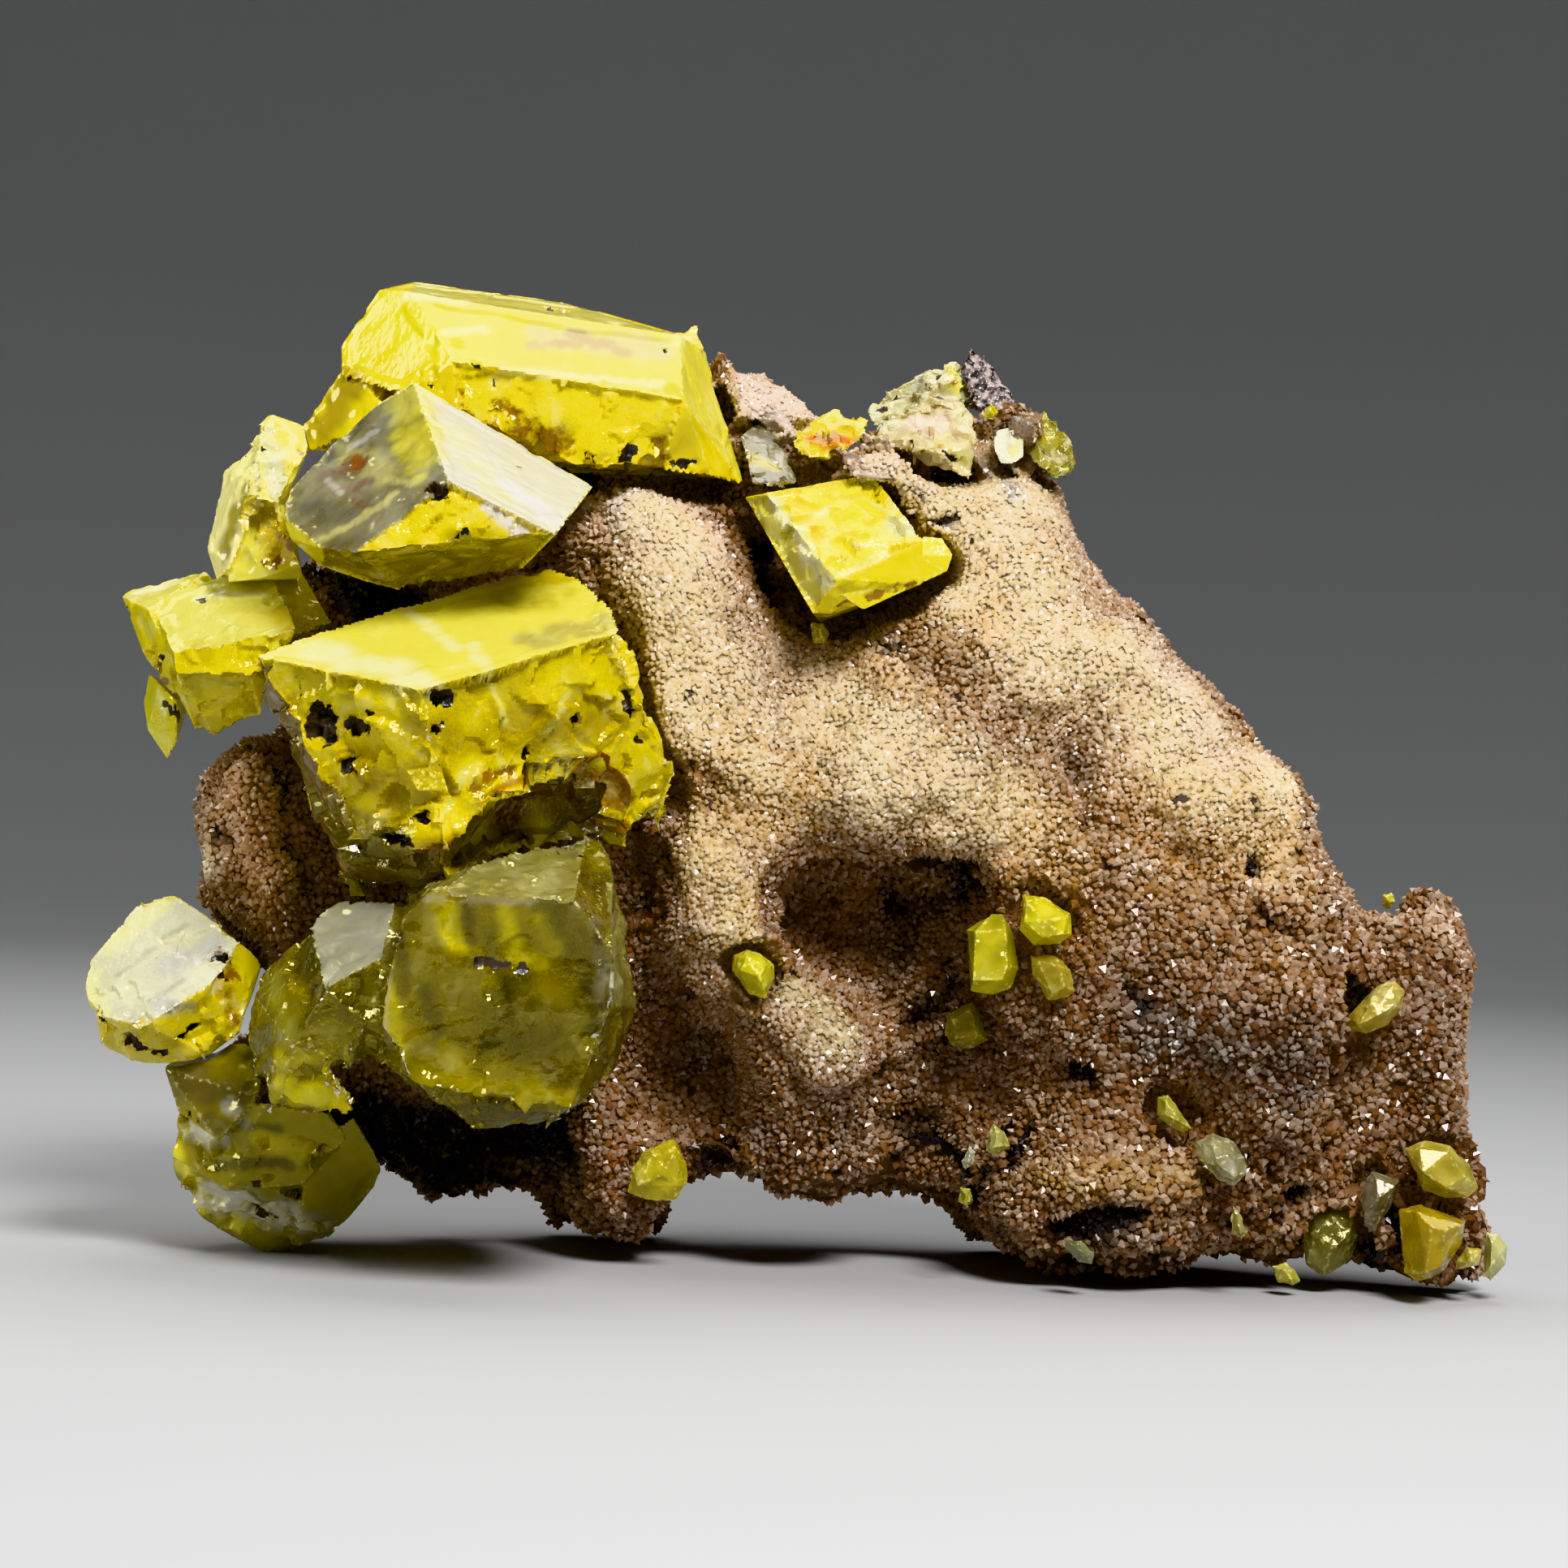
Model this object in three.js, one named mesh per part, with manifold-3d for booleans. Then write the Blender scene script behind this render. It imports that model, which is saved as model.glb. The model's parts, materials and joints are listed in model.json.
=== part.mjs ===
// Sulfur crystals on a matrix that is coated with small pointed crystals.
// Millimetres, +Z up. The front of the specimen faces -Y and it rests on Z = 0.
import * as THREE from "three";
import { ConvexGeometry } from "three/addons/geometries/ConvexGeometry.js";
import { mergeVertices } from "three/addons/utils/BufferGeometryUtils.js";
import Module from "manifold-3d";

const wasm = await Module();
wasm.setup();

// Corners are given as they look from a point in front of the specimen: x and z are read on
// the upright plane y = 0, and depth is the real y of the corner.
const VIEW = { x: -1.8, z: 46.5, distance: 350 };
const SOCKET_GAP = 0.55;      // each crystal's socket is this much larger than the crystal
const LUMP = 0.75;            // height of the low lumps on the matrix
const BLEND = 3.2;            // how far two lobes of the matrix run into each other
const CELL = 4.55;            // spacing of the points that the matrix surface is drawn from
const WELD = 1e-4;            // corners nearer than this are one corner
const ROOT = 0.8;             // a small crystal reaches this share of its height into the druse
const ROOT_TAPER = 0.7;       // and narrows to this share of its width there

const COLOURS = {
  druse: 0xb59a70,
  lemon: 0xe0d02a,
  pale: 0xe3de9a,
  olive: 0x9a8d16,
  amber: 0xb8860b,
  smoke: 0xb3ac86,
};

function seen(x, z, depth) {
  const spread = (VIEW.distance + depth) / VIEW.distance;
  return new THREE.Vector3(VIEW.x + (x - VIEW.x) * spread, depth, VIEW.z + (z - VIEW.z) * spread);
}

// A flat face through three corners. It returns a function that puts a fourth corner, given
// as it looks from the front, onto the same face.
function face(first, second, third) {
  const plane = new THREE.Plane().setFromCoplanarPoints(seen(...first), seen(...second), seen(...third));
  const eye = new THREE.Vector3(VIEW.x, -VIEW.distance, VIEW.z);
  return (x, z) => {
    const ray = seen(x, z, 0).sub(eye);
    const along = -plane.distanceToPoint(eye) / plane.normal.dot(ray);
    return eye.clone().addScaledVector(ray, along);
  };
}

function corners(list) {
  return list.map((corner) => (corner.isVector3 ? corner : seen(...corner)));
}

// Solids

function toSolid(geometry) {
  geometry.deleteAttribute("normal");
  geometry.deleteAttribute("uv");
  const merged = mergeVertices(geometry, WELD);
  const mesh = new wasm.Mesh({
    numProp: 3,
    vertProperties: new Float32Array(merged.attributes.position.array),
    triVerts: new Uint32Array(merged.index.array),
  });
  return new wasm.Manifold(mesh);
}

function toGeometry(solid) {
  const mesh = solid.getMesh();
  const geometry = new THREE.BufferGeometry();
  geometry.setAttribute("position", new THREE.BufferAttribute(mesh.vertProperties, 3));
  geometry.setIndex(new THREE.BufferAttribute(mesh.triVerts, 1));
  geometry.computeVertexNormals();
  return geometry;
}

function block(points) {
  return toSolid(new ConvexGeometry(points));
}

// The same block with every face moved out, to cut the socket that the crystal sits in.
function grownBlock(points, margin) {
  const offsets = [];
  for (const axis of ["x", "y", "z"]) {
    for (const side of [-margin, margin]) {
      const offset = new THREE.Vector3();
      offset[axis] = side;
      offsets.push(...points.map((point) => point.clone().add(offset)));
    }
  }
  return block(offsets);
}

function joined(solids) {
  return solids.reduce((all, solid) => all.add(solid));
}

function largest(solid) {
  return solid.decompose().reduce((best, body) => (body.volume() > best.volume() ? body : best));
}

// Large crystals: each is a list of blocks that grew together

function crownCrystal() {
  const bright = face([-39.5, 91.7, -4], [-13.5, 88.7, -4.5], [-12.9, 82.7, -10.5]);
  const left = face([-39.5, 91.7, -4], [-35, 85.3, -10], [-45.7, 86.3, -0.5]);
  const slab = corners([
    bright(-39.5, 91.7), bright(-13.5, 88.7), bright(-12.9, 82.7), bright(-35, 85.3),
    left(-42.3, 91.8), left(-45.7, 86.3), left(-45.5, 83.5), left(-40, 82),
    [-34.3, 80, -9.6], [-23, 75.8, -9.4], [-15, 75.9, -8.6], [-10, 75.4, -6.4], [-6.8, 74.8, -2.4],
    [-39, 92.7, 1], [-25, 91.4, 1.5], [-21.5, 90.7, 1.5], [-14.3, 89, 1.4], [-11, 87.2, 0.6],
    [-43, 90, 7], [-38, 91, 8], [-15, 87.4, 8], [-9.6, 81, 8], [-7.6, 75.4, 6],
    [-45, 81, 7], [-39, 77, 6], [-24, 75.2, 8],
  ]);
  const heel = corners([
    [-45.4, 84.2, -0.8], [-49, 78.6, 0.8], [-48.2, 76.2, 0], [-45.3, 77.4, -3.2], [-41.5, 81, -6],
    [-44, 83.5, 5], [-47.4, 78.6, 7], [-47, 76.2, 6], [-40, 77, 6], [-40, 78.4, -5],
  ]);
  const spike = corners([
    [-15.4, 88.2, -1.6], [-12, 90, 0.6], [-11.2, 87.4, -0.6], [-13, 85.6, -2.4], [-12.2, 86.8, 3.4],
    [-14.6, 86.6, 3.2],
  ]);
  return [slab, heel, spike];
}

function gableCrystal() {
  const right = face([-38.7, 83.2, -11.5], [-35, 74, -26], [-21.2, 74, -13]);
  const left = face([-38.7, 83.2, -11.5], [-35, 74, -26], [-50.7, 70, -17]);
  return [corners([
    right(-38.7, 83.2), right(-33.3, 80), right(-21.2, 74), right(-24.5, 69.3), right(-35, 74),
    left(-42.3, 80.7), left(-46.7, 76.3), left(-50, 72.3), left(-50.7, 70), left(-46.7, 67),
    left(-43.7, 66.7),
    [-49.7, 67.7, -16], [-46.7, 65.3, -17], [-42.3, 64, -16.5], [-39, 63.3, -15.5],
    [-32.7, 64.7, -15.5], [-27.7, 65.8, -17],
    [-22.5, 72, -6], [-38, 80, -6], [-49, 71, -7], [-46, 66.5, -7], [-38, 64.8, -7], [-28, 67, -7],
  ])];
}

function shoulderCluster() {
  const upper = corners([
    [-52.8, 79.2, -5], [-52, 79.5, -5], [-49, 78.6, -3.4], [-48.4, 76.3, -7], [-49.6, 74.3, -10.5],
    [-50.9, 71, -13], [-53, 71.4, -13.4], [-53.2, 77.3, -8.4], [-55, 75.3, -6.4], [-55, 72, -9],
    [-52, 77, 1], [-49.4, 76, 1], [-51, 68, 0], [-55, 70.4, 0],
  ]);
  const blade = corners([
    [-55, 75.2, -6], [-56.4, 73.8, -5], [-56.7, 69.7, -6.4], [-57.7, 66.4, -7.4], [-56.7, 63.4, -8.4],
    [-55.3, 64.8, -11], [-53.2, 70.8, -12], [-54, 73.3, -10.4], [-54.4, 72, 0], [-55, 65, 0],
  ]);
  const foot = corners([
    [-53.4, 71, -10], [-50.8, 70.8, -11.6], [-48.7, 65.4, -11], [-48.4, 64, -9], [-52.7, 63.8, -10.4],
    [-55.6, 63.4, -9.4], [-54, 72, 0], [-50, 71.4, 0], [-49, 64, 0], [-55, 65, 0],
  ]);
  return [upper, blade, foot];
}

function ledgeCrystal() {
  const top = face([-62.8, 61.3, -6], [-52.2, 64.9, -5], [-60.5, 56.6, -14.5]);
  const main = corners([
    top(-62.8, 61.3), top(-57.7, 63.4), top(-52.2, 64.9), top(-50.2, 62.4), top(-48.9, 59.2),
    top(-60.5, 56.6), [-60, 54.5, -14.4], [-53, 54.6, -15], [-50, 56, -14],
    [-62, 58, 3], [-52, 62.5, 4], [-49, 58, 4], [-59, 53.4, 3], [-51, 53.4, 3],
  ]);
  const step = corners([
    [-65.5, 61.6, -3], [-64.8, 62.2, -2], [-57.7, 64.3, -1], [-57, 63.6, -1.4], [-63, 60.5, -8],
    [-61, 56.6, -11], [-62.7, 55, -8.6], [-60.2, 52.4, -9], [-63.6, 59, 4], [-58, 62, 5], [-60.6, 54, 3],
  ]);
  const tail = corners([
    [-60, 54.7, -13.4], [-53, 54.8, -13.6], [-51.6, 54.3, -11.4], [-51.9, 50.8, -9.6],
    [-56.4, 48.7, -8.6], [-58, 49.3, -8.4], [-60, 52.9, -10], [-59, 56.4, 2], [-52.4, 56.4, 2],
    [-56, 50.4, 0],
  ]);
  const wing = corners([
    [-53, 63.8, -5], [-52.2, 64.9, -4.6], [-48.7, 64.8, -4.4], [-45.5, 59.9, -8], [-48.8, 58.6, -11.6],
    [-50.4, 60, -10.6], [-52, 62, 3], [-48.6, 62.4, 2], [-46.4, 59.4, 0], [-50, 57, 2],
  ]);
  return [main, step, tail, wing];
}

function tailCrystal() {
  return [corners([
    [-62.6, 54.4, -2.6], [-63, 51.6, -3], [-62.5, 49, -4], [-60.5, 46.3, -4.6], [-59.7, 48, -6.4],
    [-60, 52, -6.6], [-61.6, 53.4, -5.4], [-61.2, 53, 1], [-60.4, 48, 1], [-58.6, 52, -1],
  ])];
}

function greatCrystal() {
  const top = face([-36.8, 54, -30], [-49.2, 58, -22.5], [-22.3, 65.3, -14]);
  const body = corners([
    top(-52.7, 56.5), top(-49.2, 58), top(-44.9, 59.8), top(-30.4, 64.4), top(-28, 65.6),
    top(-25.1, 66.3), top(-22.3, 65.3), top(-18.8, 62.5), top(-18.1, 60.3), top(-36.8, 54),
    [-33.6, 38.1, -28.4], [-49.9, 53.3, -24], [-42.8, 39.1, -25],
    [-52.2, 54.7, -21], [-51.8, 50.8, -18.4], [-48.8, 44.8, -15.4], [-46.3, 39.1, -14],
    [-43.9, 34.5, -15], [-40.7, 34, -18], [-37.5, 34, -20], [-34.9, 35.5, -23],
    [-16, 58.2, -17.4], [-14.5, 53.6, -17.4], [-12.1, 47.6, -16.4], [-11.9, 42.4, -15],
    [-18.1, 39.9, -17],
    [-50, 54, -6], [-28, 62.4, -4], [-18, 58, -5], [-13.4, 45, -6], [-19, 42, -6], [-42, 37, -6],
    [-46.6, 43, -6],
  ]);
  return [body];
}

// The broken hollow in the lower right of the great crystal, with a leg of it left standing.
function greatHollow() {
  return corners([
    [-17.3, 47, -34], [-19.8, 47.4, -34], [-25.1, 45.2, -34], [-30.4, 43.4, -34], [-34.6, 36.4, -34],
    [-26, 37, -34], [-19, 39.2, -34],
    [-18.6, 44.4, -13], [-21, 44.6, -12], [-27, 42.4, -14], [-32, 37.6, -17], [-26, 36, -12],
    [-19.4, 38, -12],
  ]);
}

function barrelCrystal() {
  const front = face([-34.9, 35.1, -31.6], [-19, 32, -31.4], [-29.9, 15.2, -30.6]);
  const barrel = corners([
    front(-37.6, 32.4), front(-34.9, 35.1), front(-21.2, 34.7), front(-18.5, 31.8),
    front(-17.2, 29.7), front(-17.2, 24.3), front(-19.2, 18.4), front(-20.6, 14.6),
    front(-29.9, 15.1), front(-36.1, 16.5), front(-39.4, 22),
    [-33.2, 36.1, -29.6], [-26.2, 41.1, -21], [-23.7, 42.3, -19], [-20, 42.2, -19], [-17.9, 39.2, -21],
    [-15.9, 32.6, -20], [-14.8, 24.7, -20.4], [-16.4, 18.5, -21], [-18.3, 16.1, -23],
    [-29.9, 12.1, -25], [-22.5, 12.8, -25], [-34, 14.6, -26], [-39.8, 18.5, -25], [-40, 22, -25],
    [-37, 36, -14], [-25, 41, -9], [-18, 37, -9], [-17, 22, -9], [-20, 16, -9], [-31, 15, -9],
    [-38, 20, -10],
  ]);
  const pale = face([-46.4, 31.4, -20.4], [-38.4, 33.2, -21.4], [-44.8, 25.2, -28.6]);
  const wedge = corners([
    pale(-46.4, 31.4), pale(-43.8, 33.8), pale(-38.2, 33.6), pale(-39.2, 28.4), pale(-44.8, 25.2),
    [-51.8, 24.3, -17.4], [-50.6, 26.4, -17], [-48.9, 28.5, -17.6], [-51.8, 20.2, -17.6],
    [-51.2, 16.1, -18.4], [-47.4, 19.6, -27.4], [-40.2, 21.9, -28], [-41.9, 17.7, -26.4],
    [-49, 25, -6], [-44, 31, -5], [-35, 30, -12], [-50, 17, -8], [-36, 20, -14],
  ]);
  const toe = corners([
    [-50.4, 15.4, -21], [-49.7, 13, -21.6], [-45.2, 12.8, -22.4], [-41.2, 13.6, -23.6],
    [-41.6, 14.6, -25], [-46, 20.2, -27.6], [-50, 18.6, -20], [-49, 15, -12], [-42, 15, -12],
    [-46, 20, -12],
  ]);
  return [barrel, wedge, toe];
}

function paleCrystal() {
  const top = face([-62.6, 32.6, -4], [-66.5, 21.7, -13], [-55.5, 25.2, -13.4]);
  return [corners([
    top(-67.4, 24.3), top(-67, 26.8), top(-64.6, 29.7), top(-62.6, 32.6), top(-59.3, 33.4),
    top(-57.2, 32.2), top(-52.9, 29.4), top(-54, 27.2), top(-55.5, 25.2), top(-61.7, 20.9),
    top(-66.5, 21.7),
    [-65.9, 19, -10.6], [-62.6, 17.3, -9.4], [-58.8, 17.4, -10.4], [-55.5, 18.1, -11],
    [-52.4, 20.6, -10.4], [-51.6, 25.6, -9.6], [-50.7, 27.2, -7.6],
    [-65, 26, 2], [-58, 31, 4], [-52, 27, 3], [-63, 19, 0], [-54, 20, 0],
  ])];
}

function footCluster() {
  const shelf = corners([
    [-59.5, 16.9, -9], [-58, 12.8, -9.6], [-54, 10.2, -12.6], [-50.6, 14.6, -13], [-49.6, 18.6, -10],
    [-52, 19.6, -8], [-58.6, 18.6, -7.4], [-57, 16, 4], [-50, 17, 5], [-54, 11, 4],
  ]);
  const middle = corners([
    [-58.4, 8.6, -7.4], [-58, 12.6, -8], [-50, 14, -13.4], [-43.6, 13.4, -13], [-42, 11, -11.4],
    [-46, 6.4, -9.6], [-53, 5.6, -10], [-56, 11, 5], [-43, 12, 6], [-46, 5, 5], [-54, 5, 4],
  ]);
  const rim = corners([
    [-58.4, 9, -6], [-58, 5.7, -5.4], [-55.5, 2.8, -3.4], [-52.6, 1.3, -1.4], [-49, -0.3, -0.6],
    [-46.6, -0.2, 1.2], [-45.6, 4.6, -6.6], [-50, 6.4, -9.4], [-56, 8, -9], [-55, 7, 5],
    [-52, 2, 5], [-47, 0.6, 5], [-46, 5, 6],
  ]);
  const lobe = corners([
    [-45.4, 10, -9.6], [-41.4, 13, -8.6], [-39.4, 10, -6.6], [-38.5, 8.2, -5.6], [-39.1, 6.5, -4.6],
    [-41.2, 3.7, -4], [-43.6, 1.1, -2.6], [-46.8, 0.4, -1.4], [-46, 4, -7.4], [-41, 11, 6],
    [-40, 6, 5], [-44, 2.4, 5],
  ]);
  return [shelf, middle, rim, lobe];
}

function windowCrystal() {
  const top = face([-4.8, 74.1, -6], [5.3, 76.3, -3.4], [2.4, 66.2, -13]);
  const cube = corners([
    top(-4.8, 74.1), top(5.3, 76.3), top(10.4, 70.3), top(2.4, 66.2),
    [-6.7, 73.6, -4], [0.2, 62.9, -10], [2, 62.9, -10.4], [10.4, 66, -9], [-4, 70, 4], [5, 73, 5],
    [9, 66, 3], [1, 62, 2],
  ]);
  const shoulder = corners([
    [9, 69, -9.4], [10.4, 70.6, -7], [12.2, 70.5, -6.6], [13.3, 69, -7.4], [12.8, 67.4, -8.4],
    [5, 63.4, -10.4], [3, 64.6, -11.6], [11.6, 69, 2], [12, 67, 2], [5, 64, 2],
  ]);
  return [cube, shoulder];
}

function smokyCrystal() {
  return [corners([
    [-7.6, 79.5, -0.4], [-4, 79.4, 0.6], [-1.7, 75.2, -2.6], [-3.6, 74.7, -4.4], [-6, 74.9, -5.4],
    [-6.2, 80.4, 2], [-4.4, 81.2, 3], [-4, 79.8, 2], [-6.6, 78, 7], [-2.4, 76, 6], [-5.6, 75, 4],
  ])];
}

function amberCrystal() {
  return [corners([
    [-2.4, 80, -0.4], [1.3, 82.6, 3], [5, 81.6, 3.4], [4.5, 80, 0], [3.3, 78.8, -1.4],
    [1.3, 77.4, -2], [-1, 77.6, -2.4], [-2.4, 78.6, -1.6], [-1.6, 80, 7], [4, 80, 8], [1, 77, 6],
  ])];
}

function backCrystal() {
  return [corners([
    [4.6, 82.4, 7], [5.6, 84.1, 8], [9, 86.5, 9], [11, 86.3, 8], [12.8, 88, 9], [13.5, 87.3, 9],
    [15, 84.4, 8], [14, 83, 5], [9, 82, 4], [5, 81, 5], [6, 82, 14], [12, 85, 15], [14, 82, 13],
  ])];
}

function creamCrystal() {
  return [corners([
    [4.6, 79.2, 0], [5, 81.4, 1], [8.4, 82.6, 0.4], [11, 84.1, 1], [13.8, 83.9, 1], [15, 82.4, 0.4],
    [15.4, 80, -2], [15, 76.4, -2.6], [14, 76.2, -3], [11, 79, -4.6], [8, 79, -3.4], [6, 79, 3.4],
    [13, 80, 3.8], [14, 78, 3.8],
  ])];
}

function pearlCrystal() {
  return [corners([
    [16.7, 80, -1], [17, 81, 0], [18.5, 81.4, 0.4], [19.5, 80.4, -0.4], [19.6, 78.6, -1.6],
    [18.6, 77.9, -2.2], [17.5, 77.9, -2], [16.9, 79, -2], [18, 80, 4], [18, 78, 3],
  ])];
}

function greenCrystal() {
  return [corners([
    [18.9, 81.4, 2], [19.8, 83.2, 4], [21.6, 83.5, 5], [23, 82.2, 4], [24.4, 79.8, 2], [25, 78.4, 1],
    [24.6, 77, 0], [22.8, 76.8, -2], [20.6, 78.6, -1.4], [19.6, 80, 0], [21, 81, 9], [24, 78, 8],
    [22, 77, 6],
  ])];
}

// Fine crystals grown together in a dark crust, which stands up as the tip of the specimen.
function peakCrust() {
  return [corners([
    [12.8, 84.4, 6], [13.2, 87, 7.6], [14.1, 88.8, 9], [15.3, 88.3, 9], [16.4, 86.6, 8], [17, 84.9, 6.6],
    [18.8, 83.8, 7], [16, 82.6, 4.4], [18, 82, 5], [14, 83, 13], [15, 86.6, 13.6], [18.4, 82.6, 13],
  ])];
}

const LARGE_CRYSTALS = [
  ["great_crystal", greatCrystal, "lemon"],
  ["gable_crystal", gableCrystal, "lemon"],
  ["barrel_crystal", barrelCrystal, "olive"],
  ["crown_crystal", crownCrystal, "lemon"],
  ["ledge_crystal", ledgeCrystal, "lemon"],
  ["shoulder_cluster", shoulderCluster, "pale"],
  ["pale_crystal", paleCrystal, "pale"],
  ["foot_cluster", footCluster, "olive"],
  ["tail_crystal", tailCrystal, "lemon"],
  ["window_crystal", windowCrystal, "lemon"],
  ["smoky_crystal", smokyCrystal, "smoke"],
  ["amber_crystal", amberCrystal, "amber"],
  ["cream_crystal", creamCrystal, "pale"],
  ["back_crystal", backCrystal, "pale"],
  ["pearl_crystal", pearlCrystal, "pale"],
  ["green_crystal", greenCrystal, "olive"],
  ["peak_crust", peakCrust, "druse"],
];

// Matrix: lobes [x, z, depth, half width, half height, half depth], x and z as seen

const LOBES = [
  [-10, 79, 8, 10.5, 8.5, 9],
  [-15, 66, 0, 11, 11, 10],
  [-11, 54, -2, 9, 12, 9],
  [-8, 45, -3, 9, 9, 9],
  [0.5, 58, 5, 6.5, 6.5, 9],
  [7, 75, 3, 8, 6, 8],
  [5.6, 75.2, 0, 5.8, 4.7, 7.6],
  [18.5, 68.5, 4, 9, 9.5, 12],
  [16, 57, 0, 14, 12, 12],
  [9, 46, -2, 14, 9.5, 10],
  [26.6, 59, 4, 9, 9.3, 12],
  [29, 45, 1, 11, 11, 11],
  [24, 37, 2, 9.5, 9, 10.5],
  [33.8, 54, 4, 8, 7.4, 11],
  [39, 46, 3, 11.2, 8, 12],
  [44, 30.5, 2, 12.2, 17, 14],
  [27, 28, 3, 12, 15, 12],
  [60.4, 27, 6, 6.3, 14.3, 9],
  [61, 14.5, 7, 6, 8, 8],
  [59.6, 8.2, 7, 8.4, 9.2, 10],
  [63.6, 5.4, 8, 4.4, 5.6, 7],
  [46, 17, 3, 9, 10, 12],
  [-8, 34, -3, 8.5, 9, 9],
  [2, 21, -2, 9, 9.5, 9],
  [1, 11, 3, 11, 5.5, 10],
  [-16, 9, 4, 7, 8.9, 9],
  [30, 9, 1, 15, 9.7, 11],
  [44, 8.6, 5, 8, 8, 10],
  [-51.6, 41, 0, 7.8, 9.3, 9],
  [-48, 33, 1, 10, 9, 9],
  [17, 79.8, 7, 7, 4.6, 8],
];

const CORE = [
  [-33, 52, 12, 19, 20, 15],
  [-30, 74, 12, 17, 10, 10],
  [-28, 28, 8, 20, 16, 14],
  [-31, 11, 12, 7.4, 8, 9],
  [-38, 12.6, 8, 5, 5.6, 6],
  [-44.5, 61, 5, 8, 8, 7],
  [52, 15, 12, 13, 13, 10],
  [-45, 17, 8, 10, 9, 9],
  [-8, 45, 16, 26, 34, 14],
  [14, 42, 16, 24, 28, 14],
  [34, 26, 15, 20, 20, 14],
  [8, 20, 15, 30, 15, 14],
  [-17, 8, 20, 8.6, 9.8, 9],
  [32, 8, 20, 20, 9.8, 9],
];

// The back is broken rock: planes [x, y, z of the normal, distance from the middle].
const ROCK_CENTRE = new THREE.Vector3(0, 12, 44);
const BREAKS = [
  [0.05, 1, 0.08, 17.5],
  [0.42, 1, 0.25, 25],
  [-0.45, 1, 0.2, 26],
  [-0.2, 1, -0.5, 33.5],
  [0.35, 1, -0.45, 37],
  [0.1, 1, 0.75, 30],
];
const LEDGE_STEP = 9;         // spacing of the broken steps across the back
const LEDGE_HEIGHT = 2.4;     // how far each broken step stands out

const ellipsoids = [...LOBES, ...CORE].map(([x, z, depth, wide, tall, thick]) => ({
  centre: seen(x, z, depth),
  radii: new THREE.Vector3(wide, thick, tall),
}));

const breakPlanes = BREAKS.map(([x, y, z, away]) => {
  const normal = new THREE.Vector3(x, y, z).normalize();
  return { normal, away };
});

function ellipsoidDistance(point, { centre, radii }) {
  const offset = point.clone().sub(centre);
  const inner = offset.clone().divide(radii);
  const steep = inner.clone().divide(radii).length();
  const reach = inner.length();
  return (reach * (reach - 1)) / Math.max(steep, Number.EPSILON);
}

function blended(a, b, width) {
  const share = Math.max(width - Math.abs(a - b), 0) / width;
  return Math.min(a, b) - (share * share * width) / 4;
}

// Two sets of crossing waves, broad and small. Each wave is [x, y, z, start], so many radians
// to the millimetre, and its set has a share of the lumps' height.
const LUMP_WAVES = [
  { share: 0.8, waves: [[0.47, 0, 0.12, 0], [0, 0.3, 0.52, 0.7]] },
  { share: 0.5, waves: [[0.93, 0, 0.41, 2], [-0.35, 0.6, 0.88, 0]] },
];

function lumps(point) {
  const height = LUMP_WAVES.reduce((sum, { share, waves }) => (
    sum + waves.reduce((product, [x, y, z, start]) => (
      product * Math.sin(point.x * x + point.y * y + point.z * z + start)
    ), share)
  ), 0);
  return LUMP * height;
}

// The broken steps run slantwise across the back, along a line that waves with height.
const STEP_LEAN = new THREE.Vector3(0.8, 0, 0.6);
const STEP_WAVE = { height: 3, turn: 0.21 };

function brokenStep(point) {
  const across = point.dot(STEP_LEAN) + STEP_WAVE.height * Math.sin(point.z * STEP_WAVE.turn);
  return LEDGE_HEIGHT * (across / LEDGE_STEP - Math.floor(across / LEDGE_STEP));
}

// Less than zero inside the matrix.
function matrixDistance(point) {
  let distance = Infinity;
  for (const ellipsoid of ellipsoids) {
    const next = ellipsoidDistance(point, ellipsoid);
    distance = distance === Infinity ? next : blended(distance, next, BLEND);
  }
  distance += lumps(point);
  const fromCentre = point.clone().sub(ROCK_CENTRE);
  for (const { normal, away } of breakPlanes) {
    distance = Math.max(distance, fromCentre.dot(normal) - away + brokenStep(point));
  }
  return distance;
}

const SETTLE = 0.45;          // a surface point moves by at most this share of a cell

// Moves a point along the steepest way until it lies on the surface.
function settled(distanceAt, point, furthest) {
  const [probe, turns, leastSlope] = [0.05, 3, 0.25];
  const start = point.clone();
  for (let turn = 0; turn < turns; turn += 1) {
    const here = distanceAt(point);
    const slope = new THREE.Vector3();
    for (const axis of ["x", "y", "z"]) {
      const beside = point.clone();
      beside[axis] += probe;
      slope[axis] = (distanceAt(beside) - here) / probe;
    }
    point.addScaledVector(slope, -here / Math.max(slope.lengthSq(), leastSlope));
  }
  return start.add(point.sub(start).clampLength(0, furthest));
}

const CUBE = [0, 1, 2, 3, 4, 5, 6, 7];
const FILLED = -0.2;          // the distance that a filled corner is given

// True where the corners of a cell on one side of the surface all hang together.
function hangTogether(members) {
  const reached = new Set(members.slice(0, 1));
  for (const corner of reached) {
    for (const bit of [1, 2, 4]) {
      if (members.includes(corner ^ bit)) {
        reached.add(corner ^ bit);
      }
    }
  }
  return reached.size === members.length;
}

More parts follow.
